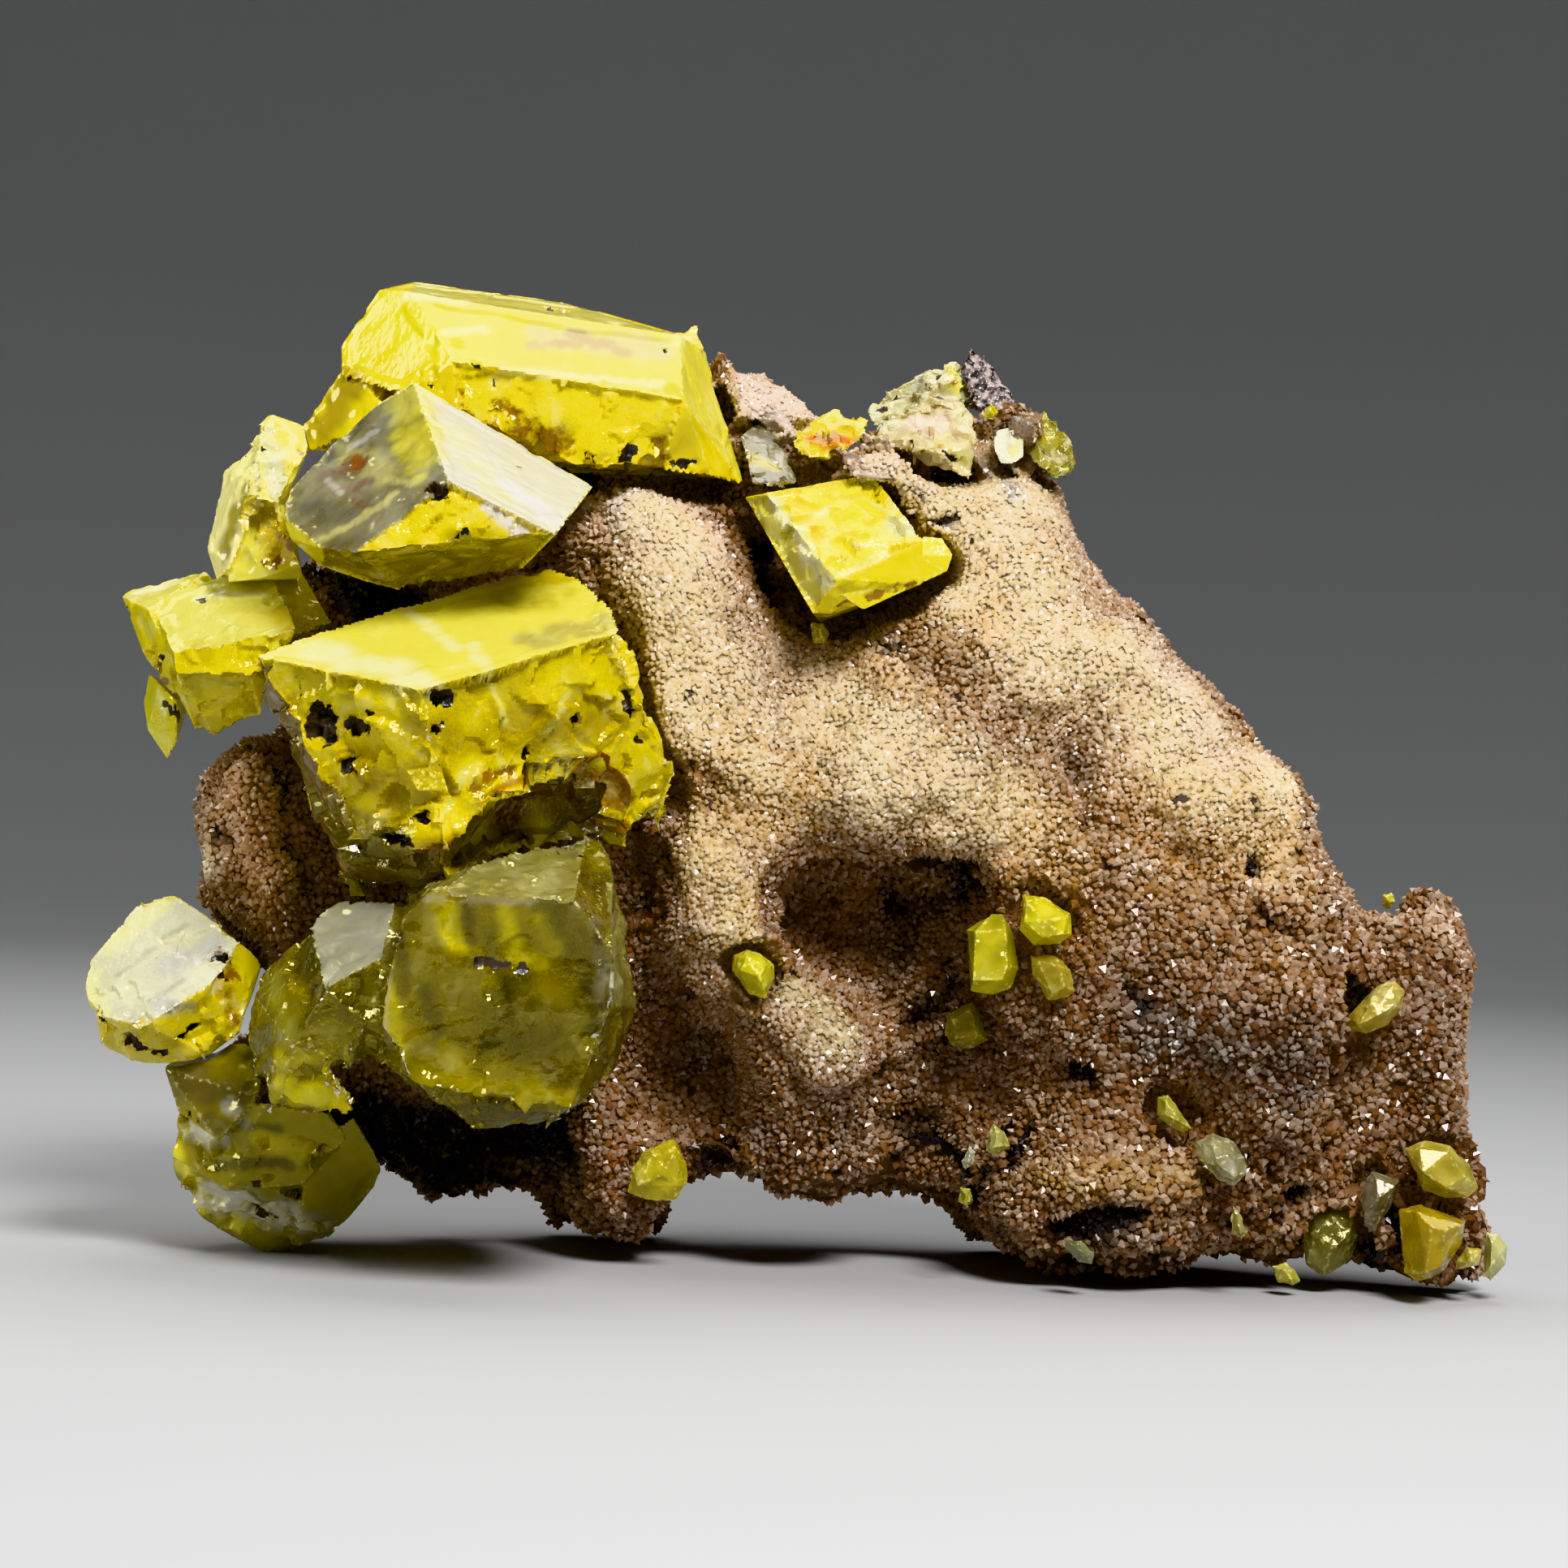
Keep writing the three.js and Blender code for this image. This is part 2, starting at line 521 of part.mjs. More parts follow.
// Fills the corners where the surface would touch itself along an edge or at a point.
function fillPinches(values, cellStarts, cornerOffsets) {
  let changed = true;
  while (changed) {
    changed = false;
    for (const at of cellStarts) {
      const inside = CUBE.filter((corner) => values[at + cornerOffsets[corner]] < 0);
      const outside = CUBE.filter((corner) => !inside.includes(corner));
      if (hangTogether(inside) && hangTogether(outside)) {
        continue;
      }
      const nearest = outside.reduce((a, b) => (
        values[at + cornerOffsets[a]] < values[at + cornerOffsets[b]] ? a : b
      ));
      values[at + cornerOffsets[nearest]] = FILLED;
      changed = true;
    }
  }
}

// Draws a closed surface round all points with a distance below zero. Each cell that the
// surface crosses gets one point, and each grid edge that it crosses gets one four-sided face.
function drawnSurface(distanceAt, low, high, cell) {
  const counts = ["x", "y", "z"].map((axis) => Math.ceil((high[axis] - low[axis]) / cell) + 1);
  const strides = [1, counts[0], counts[0] * counts[1]];
  const total = counts[0] * counts[1] * counts[2];
  const values = new Float64Array(total);
  const place = (i, j, k) => new THREE.Vector3(low.x + i * cell, low.y + j * cell, low.z + k * cell);
  const each = (ends, visit) => {
    for (let k = 0; k < counts[2] - ends; k += 1) {
      for (let j = 0; j < counts[1] - ends; j += 1) {
        for (let i = 0; i < counts[0] - ends; i += 1) {
          visit(i, j, k, i + j * strides[1] + k * strides[2]);
        }
      }
    }
  };
  each(0, (i, j, k, at) => {
    values[at] = distanceAt(place(i, j, k));
  });
  const cellStarts = [];
  each(1, (i, j, k, at) => cellStarts.push(at));
  const cornerOffsets = CUBE.map((corner) => (
    (corner & 1) + ((corner >> 1) & 1) * strides[1] + ((corner >> 2) & 1) * strides[2]
  ));
  fillPinches(values, cellStarts, cornerOffsets);
  const positions = [];
  const pointOfCell = new Map();
  each(1, (i, j, k, at) => {
    const crossings = [];
    for (let corner = 0; corner < 8; corner += 1) {
      const here = [corner & 1, (corner >> 1) & 1, (corner >> 2) & 1];
      for (let axis = 0; axis < 3; axis += 1) {
        if (here[axis] === 1) {
          continue;
        }
        const from = at + here[0] * strides[0] + here[1] * strides[1] + here[2] * strides[2];
        const to = from + strides[axis];
        if (values[from] < 0 === values[to] < 0) {
          continue;
        }
        const crossing = place(i + here[0], j + here[1], k + here[2]);
        const step = (cell * values[from]) / (values[from] - values[to]);
        crossing.setComponent(axis, crossing.getComponent(axis) + step);
        crossings.push(crossing);
      }
    }
    if (crossings.length > 0) {
      const middle = crossings.reduce((sum, crossing) => sum.add(crossing), new THREE.Vector3());
      middle.copy(settled(distanceAt, middle.divideScalar(crossings.length), cell * SETTLE));
      pointOfCell.set(at, positions.length / 3);
      positions.push(middle.x, middle.y, middle.z);
    }
  });
  const triangles = [];
  each(1, (i, j, k, at) => {
    const cellIndex = [i, j, k];
    for (let axis = 0; axis < 3; axis += 1) {
      const [first, second] = [(axis + 1) % 3, (axis + 2) % 3];
      if (cellIndex[first] === 0 || cellIndex[second] === 0) {
        continue;
      }
      const inside = values[at] < 0;
      if (inside === values[at + strides[axis]] < 0) {
        continue;
      }
      const ring = [at, at - strides[first], at - strides[first] - strides[second], at - strides[second]]
        .map((index) => pointOfCell.get(index));
      if (!inside) {
        ring.reverse();
      }
      triangles.push(ring[0], ring[1], ring[2], ring[0], ring[2], ring[3]);
    }
  });
  const geometry = new THREE.BufferGeometry();
  geometry.setAttribute("position", new THREE.Float32BufferAttribute(positions, 3));
  geometry.setIndex(triangles);
  return geometry;
}

// Small crystals that stand in the druse. rim is the outline [x, z] where the crystal leaves
// the druse, and crest holds its front corners [x, z, how far out from the druse]. One with a
// lift stands that much farther out.

const SMALL_CRYSTALS = [
  {
    name: "bead_crystal", colour: "lemon",
    rim: [
      [-5.9, 30], [-4.6, 30.6], [-3.4, 30.3], [-2, 29.3], [-1.9, 28], [-2.7, 26], [-4.2, 26.3],
      [-6, 28.6],
    ],
    crest: [[-4.7, 29.9, 2.2], [-2.6, 29.2, 2], [-3.4, 28.1, 3], [-5.2, 28.6, 2.4], [-2.9, 27, 2]],
  },
  {
    name: "slope_prism", colour: "lemon",
    rim: [
      [16.2, 33.4], [18.4, 35], [19.7, 35], [20.5, 33.4], [21.3, 30], [20.6, 28], [18.8, 27.3],
      [16.8, 27.6],
    ],
    crest: [[17, 33.2, 2.6], [19.9, 33.6, 2.2], [20.2, 30.1, 2.8], [19.8, 28.8, 2.6], [17, 28.6, 3]],
  },
  {
    name: "slope_block", colour: "lemon",
    rim: [[21.4, 37], [23.6, 36.8], [26, 35.4], [26.2, 33.4], [25, 32.4], [22.6, 32.2], [21.2, 33.6]],
    crest: [
      [21.8, 36.4, 1.2], [25.6, 35, 1.6], [23.4, 34.6, 3], [21.6, 34.4, 2.4], [23.4, 33, 2.6],
      [25.4, 33.4, 2.4],
    ],
  },
  {
    name: "dull_blade", colour: "olive",
    rim: [[22.4, 31.2], [24.8, 31.4], [26.2, 30], [26.8, 28], [25.6, 27.2], [24.2, 27], [22.6, 29.4]],
    crest: [[23, 30.8, 1], [25.2, 30.4, 1.6], [25.8, 28.4, 1.6], [24.6, 27.6, 1.4]],
  },
  {
    name: "dull_wedge", colour: "olive",
    rim: [[17, 26.6], [17.8, 25.4], [18.6, 23], [17, 22.1], [15.2, 22.3], [14.5, 23.6], [14.8, 25.4]],
    crest: [[16.9, 26, 1.4], [17.6, 23.4, 1.8], [15.6, 23, 1.8], [15.2, 24.8, 1.4]],
  },
  {
    name: "cleft_crystal", colour: "amber",
    rim: [
      [57, 30.4], [58.1, 29.4], [57.8, 27.6], [56.4, 26], [54.6, 25.2], [53, 25.5], [52.8, 26.8],
      [55.4, 29.8],
    ],
    crest: [[56.9, 29.6, 1.6], [57.2, 28, 2.2], [55.6, 27, 2.6], [53.8, 26, 2], [54.8, 28.2, 2]],
  },
  {
    name: "corner_crystal", colour: "amber",
    rim: [
      [58.7, 14.4], [60.6, 15.3], [63, 14.9], [64.9, 13.2], [65.9, 11], [65, 10.1], [62.8, 9.9],
      [60.6, 10.6],
    ],
    crest: [[60.2, 14.4, 2], [62.8, 14.2, 2.2], [64.6, 12, 2.2], [62.8, 10.9, 2.6], [60.6, 12.2, 3]],
  },
  {
    name: "corner_prism", colour: "amber",
    rim: [
      [58.4, 8.6], [60.4, 9.2], [64.8, 7.8], [64.6, 5.8], [63, 3], [61.8, 2.2], [60.4, 1.8],
      [59.2, 2.6], [58.6, 7],
    ],
    crest: [
      [60.2, 8.4, 2.2], [64.4, 7.4, 2.2], [61.6, 7, 3.4], [63, 6.8, 3.2], [61.2, 2.6, 2.6],
      [62.6, 3.4, 2.4],
    ],
  },
  {
    name: "corner_chip", colour: "amber",
    rim: [[65, 5.4], [66.6, 5.2], [66.2, 3.6], [64.4, 3.2], [64, 3.8]],
    crest: [[65.4, 4.8, 1.6], [65.6, 4, 1.6]],
  },
  {
    name: "corner_stub", colour: "smoke",
    rim: [[55.6, 12.2], [58.4, 11.4], [57.6, 8.8], [56.2, 6.4], [55.2, 6.9], [54.6, 9.6]],
    crest: [[56.2, 11.4, 1.6], [57.9, 10.8, 2], [56.4, 9.6, 2.4], [55.2, 8.2, 1.6]],
  },
  {
    name: "edge_crystal", colour: "pale",
    rim: [[66.8, 6.9], [68, 6.7], [68.9, 5.6], [68.8, 3.8], [67.4, 2.2], [66.6, 2.6]],
    crest: [[67.4, 5.8, 1.4], [68.2, 4.8, 1.4], [67.4, 3.6, 1.6]],
  },
  {
    name: "lobe_crystal", colour: "lemon",
    rim: [
      [-14.8, 9.6], [-13, 11.6], [-10.8, 12.3], [-9.7, 11], [-9.2, 8.2], [-10.4, 6.4], [-13, 6.3],
      [-15, 7],
    ],
    crest: [
      [-12.8, 10.8, 1], [-10.6, 11.2, 1.2], [-11.8, 8.8, 1.8], [-14, 7.8, 1.4], [-10.4, 7.8, 1.2],
    ],
  },
  {
    name: "shelf_blade", colour: "pale",
    rim: [[35, 18.3], [36, 18.6], [37.4, 16.9], [38.4, 15.4], [37.6, 15], [36.2, 15.6], [35, 16.6]],
    crest: [[35.8, 17.9, 1.2], [37.4, 16, 1.4], [35.8, 16.6, 1.2]],
  },
  {
    name: "shelf_cluster", colour: "smoke",
    rim: [
      [38.6, 14.2], [40.4, 15.1], [42.4, 14.6], [43.6, 13], [43.9, 11.4], [42.6, 10], [40.8, 10.8],
      [39.2, 12.4],
    ],
    crest: [[40.4, 14, 1.8], [42.4, 12.8, 2], [41, 12, 2.2], [42.6, 11, 1.6]],
  },
  {
    name: "shelf_chip", colour: "pale",
    rim: [[19.5, 15.2], [20.6, 14.4], [21.4, 13], [20, 11.9], [18.8, 12.4], [18.9, 14]],
    crest: [[19.8, 14.2, 1.2], [20.6, 13, 1.2], [19.6, 12.8, 1.4]],
  },
  {
    name: "ravine_chip", colour: "pale",
    rim: [[17.2, 12.9], [18.1, 12.4], [17.9, 11], [17, 10.4], [16.5, 11.4]],
    crest: [[17.4, 12, 1.2], [17.3, 11.2, 1.2]],
  },
  {
    name: "ravine_bead", colour: "lemon",
    rim: [[16.5, 9], [17.7, 8.9], [18.1, 7.6], [17.4, 6.8], [16.4, 7.4]],
    crest: [[17.2, 8.2, 1.2], [17.2, 7.5, 1.2]],
  },
  {
    name: "base_crystal", colour: "olive",
    rim: [
      [50.4, 8.2], [52.4, 8.9], [54.2, 8.4], [54.8, 6], [54, 3.4], [51.6, 1.8], [49.8, 3],
      [49.4, 5.6],
    ],
    crest: [[52, 7.8, 1.2], [53.8, 6, 1.8], [52, 4.4, 2.2], [50.6, 6, 1.6]],
  },
  {
    name: "base_bead", colour: "lemon",
    rim: [[46.6, 2.7], [47.8, 3.2], [48.8, 2.4], [49.4, 1.4], [48.6, 0.9], [47.2, 1.2]],
    crest: [[47.8, 2.4, 1.4], [48.4, 1.6, 1.4]],
  },
  {
    name: "side_chip", colour: "pale",
    rim: [[42.6, 8.4], [43.4, 7.8], [44.2, 5.8], [43.6, 5], [42.6, 5.6], [42.3, 7.2]],
    crest: [[43.1, 7.4, 1.3], [43.4, 6, 1.4]],
  },
  {
    name: "under_chip", colour: "smoke",
    rim: [[26.6, 4.6], [28.4, 4.4], [29.8, 3.2], [29.6, 2], [28, 2.2], [26.8, 3.4]],
    crest: [[27.6, 3.9, 1.5], [28.9, 3, 1.5]],
  },
  {
    name: "window_chip", colour: "lemon", lift: 1.6,
    rim: [[0, 62], [1.4, 61.9], [2, 61], [1.6, 59.9], [0.4, 60]],
    crest: [[0.9, 61.4, 1.2], [1.3, 60.7, 1.2]],
  },
  {
    name: "gap_bead", colour: "lemon",
    rim: [[55.5, 38.5], [56.4, 38.8], [56.9, 37.9], [56.2, 37], [55.5, 37.4]],
    crest: [[56, 38.2, 1.1], [56.3, 37.8, 1.1]],
  },
  {
    name: "peak_bead", colour: "lemon",
    rim: [[15.6, 83], [16.4, 83.6], [17.2, 82.7], [16.6, 81.9], [15.7, 82.1]],
    crest: [[16.2, 82.9, 1.1], [16.6, 82.5, 1.1]],
  },
];

// Where the line of sight through x and z first meets the matrix, or passes nearest to it.
function surfaceDepth(x, z) {
  const [nearest, farthest, step] = [-30, 25, 0.1];
  let best = { depth: nearest, distance: Infinity };
  for (let depth = nearest; depth < farthest; depth += step) {
    const distance = matrixDistance(seen(x, z, depth));
    if (distance < best.distance) {
      best = { depth, distance };
    }
    if (distance <= 0) {
      break;
    }
  }
  return best.depth;
}

function smallCrystal({ rim, crest, lift = 0 }) {
  const middle = rim.reduce((sum, [x, z]) => [sum[0] + x / rim.length, sum[1] + z / rim.length], [0, 0]);
  const depth = surfaceDepth(...middle) - lift;
  const root = ROOT * Math.max(...crest.map(([, , out]) => out));
  const points = rim.map(([x, z]) => seen(x, z, depth));
  points.push(...crest.map(([x, z, out]) => seen(x, z, depth - out)));
  points.push(...rim.map(([x, z]) => seen(
    middle[0] + (x - middle[0]) * ROOT_TAPER, middle[1] + (z - middle[1]) * ROOT_TAPER, depth + root,
  )));
  return [points];
}

// Assembly

const UP = [0, 0, 1];
const CRYSTAL_ROUGHNESS = 0.18;
const DRUSE_ROUGHNESS = 0.75;

const specimen = new THREE.Group();
const placed = [];

function addPiece(name, solid, colour, roughness) {
  const material = new THREE.MeshStandardMaterial({ color: COLOURS[colour], roughness, metalness: 0 });
  const mesh = new THREE.Mesh(toGeometry(solid), material);
  mesh.name = name;
  specimen.add(mesh);
}

function addCrystal(name, blocks, colour) {
  const hollows = name === "great_crystal" ? [block(greatHollow()), ...placed] : placed;
  const cut = hollows.reduce((solid, hollow) => solid.subtract(hollow), joined(blocks.map(block)));
  addPiece(name, largest(cut.trimByPlane(UP, 0)), colour, CRYSTAL_ROUGHNESS);
  placed.push(joined(blocks.map((points) => grownBlock(points, SOCKET_GAP))));
}

for (const [name, shape, colour] of LARGE_CRYSTALS) {
  addCrystal(name, shape(), colour);
}
for (const crystal of SMALL_CRYSTALS) {
  addCrystal(crystal.name, smallCrystal(crystal), crystal.colour);
}

const LOW = new THREE.Vector3(-72, -22, -6);
const HIGH = new THREE.Vector3(76, 42, 100);
const rock = toSolid(drawnSurface(matrixDistance, LOW, HIGH, CELL)).trimByPlane(UP, 0);
const socketed = placed.reduce((solid, socket) => solid.subtract(socket), rock);
addPiece("matrix", largest(socketed), "druse", DRUSE_ROUGHNESS);

const box = new THREE.Box3().setFromObject(specimen);
const middle = box.getCenter(new THREE.Vector3());
specimen.position.set(-middle.x, -middle.y, -box.min.z);

export default specimen;
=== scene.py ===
import json
import math

import bmesh
import bpy
import numpy as np
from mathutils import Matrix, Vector
from mathutils.bvhtree import BVHTree
from mathutils.kdtree import KDTree


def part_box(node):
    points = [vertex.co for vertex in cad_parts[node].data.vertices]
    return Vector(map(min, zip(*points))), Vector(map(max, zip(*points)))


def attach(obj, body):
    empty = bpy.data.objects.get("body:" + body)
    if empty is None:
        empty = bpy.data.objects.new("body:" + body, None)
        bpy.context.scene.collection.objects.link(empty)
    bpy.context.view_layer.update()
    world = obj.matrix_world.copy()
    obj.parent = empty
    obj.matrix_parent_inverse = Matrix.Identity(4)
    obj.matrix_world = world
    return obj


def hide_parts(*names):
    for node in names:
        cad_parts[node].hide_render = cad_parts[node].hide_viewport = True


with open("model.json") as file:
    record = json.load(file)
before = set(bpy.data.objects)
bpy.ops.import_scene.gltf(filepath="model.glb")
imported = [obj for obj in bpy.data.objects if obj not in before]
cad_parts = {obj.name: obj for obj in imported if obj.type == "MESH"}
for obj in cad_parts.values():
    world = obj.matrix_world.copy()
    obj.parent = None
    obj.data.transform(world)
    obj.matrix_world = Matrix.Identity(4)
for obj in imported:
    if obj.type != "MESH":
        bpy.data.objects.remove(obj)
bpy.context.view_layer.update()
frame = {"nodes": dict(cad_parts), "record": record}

MM = 0.001

# Studio: a level camera 350 mm in front of the specimen, rolled by the small angle at which the
# photograph shows it standing, a pale bowl for a floor, and three soft boxes, the largest overhead.
# The eye is placed from the left front corner of the gable crystal's box, in mm.
EYE_AWAY = 350
EYE_HEIGHT = 46.5
EYE_RIGHT_OF_GABLE = 46.525
EYE_BEFORE_GABLE = 324
SIGHT_MIDDLE = -1.8
ROLL_DEGREES = 2.5
LENS = 84.7
gable_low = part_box("gable_crystal")[0]
EYE = Vector((gable_low.x + EYE_RIGHT_OF_GABLE * MM, gable_low.y - EYE_BEFORE_GABLE * MM, EYE_HEIGHT * MM))
UPRIGHT_ZERO = Vector((SIGHT_MIDDLE, 0, EYE_HEIGHT))

camera = bpy.data.cameras.new("camera")
camera.lens = LENS
camera_object = bpy.data.objects.new("camera", camera)
camera_object.location = EYE
camera_object.rotation_euler = (math.radians(90), math.radians(-ROLL_DEGREES), 0)
scene = bpy.context.scene
scene.collection.objects.link(camera_object)
scene.camera = camera_object
scene.view_settings.view_transform = "Khronos PBR Neutral"
scene.cycles.max_bounces = 7
scene.cycles.transmission_bounces = 5
scene.cycles.sample_clamp_indirect = 4


def sight(x, z):
    """The direction from the eye through x, z on the upright plane at the specimen, in mm."""
    return (Vector((x, EYE_AWAY, z)) - UPRIGHT_ZERO).normalized()


def softbox(name, size, place, target, watts):
    """An oblong lamp at a place in metres, turned to face its target."""
    lamp = bpy.data.lights.new(name, "AREA")
    lamp.shape = "RECTANGLE"
    lamp.size, lamp.size_y = size
    lamp.energy = watts
    made = bpy.data.objects.new(name, lamp)
    made.location = place
    made.rotation_euler = (Vector(target) - Vector(place)).to_track_quat("-Z", "Y").to_euler()
    scene.collection.objects.link(made)


softbox("overhead_box", (0.6, 0.4), (0.05, 0.12, 0.5), (0.02, 0, 0.04), 2.0)
softbox("key_box", (0.2, 0.16), (0.14, -0.4, 0.44), (0.01, 0, 0.04), 4.9)
softbox("left_box", (0.25, 0.25), (-0.5, -0.16, 0.25), (0, 0, 0.04), 1.3)

world = bpy.data.worlds.new("studio")
world.use_nodes = True
world.node_tree.nodes["Background"].inputs["Color"].default_value = (0.92, 0.95, 1, 1)
world.node_tree.nodes["Background"].inputs["Strength"].default_value = 0.1
scene.world = world


def hue(red, green, blue):
    """A colour as it looks on screen, from 0 to 255, turned into light."""
    seen = (red, green, blue)
    return tuple(((v / 255 + 0.055) / 1.055) ** 2.4 if v > 10 else v / 255 / 12.92 for v in seen)


class Flow:
    """A socket in a node tree. Sums on it add Math nodes, and node() adds any other node."""

    def __init__(self, tree, socket=None):
        self.tree = tree
        self.socket = socket

    def node(self, kind, settings=None, values=None, output=0):
        made = self.tree.nodes.new(kind)
        for name, value in (settings or {}).items():
            setattr(made, name, value)
        for name, value in (values or {}).items():
            if isinstance(value, Flow):
                self.tree.links.new(value.socket, made.inputs[name])
            else:
                made.inputs[name].default_value = value
        return Flow(self.tree, made.outputs[output] if made.outputs else None)

    def maths(self, operation, *values):
        return self.node("ShaderNodeMath", {"operation": operation}, dict(enumerate(values)))

    def __add__(self, other):
        return self.maths("ADD", self, other)

    def __sub__(self, other):
        return self.maths("SUBTRACT", self, other)

    def __mul__(self, other):
        return self.maths("MULTIPLY", self, other)

    __radd__ = __add__
    __rmul__ = __mul__

    def __rsub__(self, other):
        return self.maths("SUBTRACT", other, self)

    def over(self, low, high):
        """0 below low, 1 above high and a smooth rise between them."""
        values = {"Value": self, "From Min": low, "From Max": high}
        return self.node("ShaderNodeMapRange", {"interpolation_type": "SMOOTHSTEP"}, values)

    def blend(self, share, below, above, kind="MIX"):
        """Two colours mixed, with a share from 0 to 1 of the second."""
        below, above = ((*c, 1) if isinstance(c, tuple) else c for c in (below, above))
        settings = {"data_type": "RGBA", "blend_type": kind}
        return self.node("ShaderNodeMix", settings, {0: share, 6: below, 7: above}, 2)

    def tint(self, below, above):
        """Two colours mixed, with this value as the share of the second."""
        return self.blend(self, below, above)


def new_material(name):
    """An empty material and a Flow that adds nodes to it."""
    material = bpy.data.materials.new(name)
    material.use_nodes = True
    material.node_tree.nodes.clear()
    return material, Flow(material.node_tree)


def in_mm(flow):
    """Object coordinates in millimetres."""
    place = flow.node("ShaderNodeTexCoord", output=3)
    values = {"Vector": place, "Scale": (1 / MM,) * 3}
    return flow.node("ShaderNodeMapping", {"vector_type": "POINT"}, values)


def cloud(flow, vector, scale, detail=2.0, output=0):
    """Noise, with scale as turns to the millimetre."""
    values = {"Vector": vector, "Scale": scale, "Detail": detail}
    return flow.node("ShaderNodeTexNoise", None, values, output)


def attribute(flow, name, output=2):
    return flow.node("ShaderNodeAttribute", {"attribute_name": name}, output=output)


def finish(flow, shader, volume=None):
    flow.node("ShaderNodeOutputMaterial", None, {"Surface": shader} | ({"Volume": volume} if volume else {}))


BOWL_FLAT = 0.6
BOWL_RADIUS = 0.7
BOWL_STEPS = 12
BOWL_SIDES = 64
bowl = bmesh.new()
profile = [(0.001, 0), (BOWL_FLAT, 0)]
for step in range(1, BOWL_STEPS + 1):
    turn = math.radians(90 / BOWL_STEPS * step)
    profile.append((BOWL_FLAT + BOWL_RADIUS * math.sin(turn), BOWL_RADIUS * (1 - math.cos(turn))))
rows = [[bowl.verts.new((r * math.cos(a), r * math.sin(a), z))
         for a in np.linspace(0, 2 * math.pi, BOWL_SIDES, endpoint=False)] for r, z in profile]
bowl.faces.new(rows[0])
for inner, outer in zip(rows, rows[1:]):
    for side in range(BOWL_SIDES):
        ahead = (side + 1) % BOWL_SIDES
        bowl.faces.new((inner[side], outer[side], outer[ahead], inner[ahead])).smooth = True
bowl_mesh = bpy.data.meshes.new("floor")
bowl.to_mesh(bowl_mesh)
bowl.free()
floor = bpy.data.objects.new("floor", bowl_mesh)
scene.collection.objects.link(floor)
floor_material, flow = new_material("floor_paper")
finish(flow, flow.node("ShaderNodeBsdfPrincipled", None, {
    "Base Color": (0.42, 0.42, 0.42, 1), "Roughness": 0.9, "Specular IOR Level": 0.1}))
bowl_mesh.materials.append(floor_material)

# Matrix: one lumpy mass of brown rock. Its front, top and sides lie under a skin of druse, so the
# mass is taken from the solid and set back by the height of the grains, whose tips reach the
# solid's surface. Cracks and pockets run into it, and its back is broken rock with druse patches.
GRAIN_HEIGHT = 0.75
PIT_SCALE = 0.55
PIT_LEVEL = 0.655
ROCK_VOXEL = 0.66
DEFAULT_DRUSE = hue(166, 132, 98)
PALE_DRUSE = hue(250, 230, 188)
PINK = hue(226, 204, 188)
CREAM = hue(226, 204, 160)
BUFF = hue(216, 188, 134)
TAN = hue(188, 148, 92)
BROWN = hue(128, 90, 52)
UMBER = hue(70, 44, 24)
# Near black: the dark crust's colour, and the colour of the painted shade on the druse grains.
CRUST_AND_SHADE_BLACK = hue(34, 28, 28)
RUST = hue(160, 88, 20)


def merged(node):
    """A CAD node's mesh as one bmesh with its doubles merged."""
    made = bmesh.new()
    made.from_mesh(frame["nodes"][node].data)
    bmesh.ops.remove_doubles(made, verts=made.verts, dist=1e-7)
    return made


def add_object(name, mesh):
    made = bpy.data.objects.new(name, mesh)
    scene.collection.objects.link(made)
    return made


def evaluated_mesh(made):
    """The object's mesh with its modifiers in it."""
    graph = bpy.context.evaluated_depsgraph_get()
    return bpy.data.meshes.new_from_object(made.evaluated_get(graph))


def remeshed(name, mesh, voxel):
    """The mesh drawn again as even four-sided faces."""
    made = add_object(name, mesh)
    modifier = made.modifiers.new("remesh", "REMESH")
    modifier.mode = "VOXEL"
    modifier.voxel_size = voxel * MM
    fine = evaluated_mesh(made)
    made.modifiers.clear()
    made.data = fine
    return made


def numbers(rows, name, width, kind=np.float32):
    """One property of a mesh's points or edges as an array with so many columns."""
    flat = np.empty(len(rows) * width, kind)
    rows.foreach_get(name, flat)
    return flat.reshape(-1, width)


def places(mesh):
    """The mesh's points, in mm."""
    return numbers(mesh.vertices, "co", 3).astype(float) / MM


def put_places(mesh, points):
    mesh.vertices.foreach_set("co", (points * MM).astype(np.float32).ravel())
    mesh.update()


def ways(mesh):
    """The way that the surface faces at each point."""
    return numbers(mesh.vertex_normals, "vector", 3).astype(float)


def evened(values, ends, turns):
    """Each point's value averaged with its neighbours', so many times."""
    values = values.astype(float)
    shape = (-1,) + (1,) * (values.ndim - 1)
    count = np.bincount(ends.ravel(), minlength=len(values)).reshape(shape)
    for _ in range(turns):
        total = np.zeros_like(values)
        np.add.at(total, ends[:, 0], values[ends[:, 1]])
        np.add.at(total, ends[:, 1], values[ends[:, 0]])
        values = (values + total) / (1 + count)
    return values


def paint(mesh, name, values):
    """Keeps a number or a colour for each point on the mesh."""
    if values.ndim == 1:
        layer = mesh.attributes.new(name, "FLOAT", "POINT")
        layer.data.foreach_set("value", values.astype(np.float32))
    else:
        layer = mesh.attributes.new(name, "FLOAT_COLOR", "POINT")
        filled = np.column_stack([values, np.ones(len(values))])
        layer.data.foreach_set("color", filled.astype(np.float32).ravel())


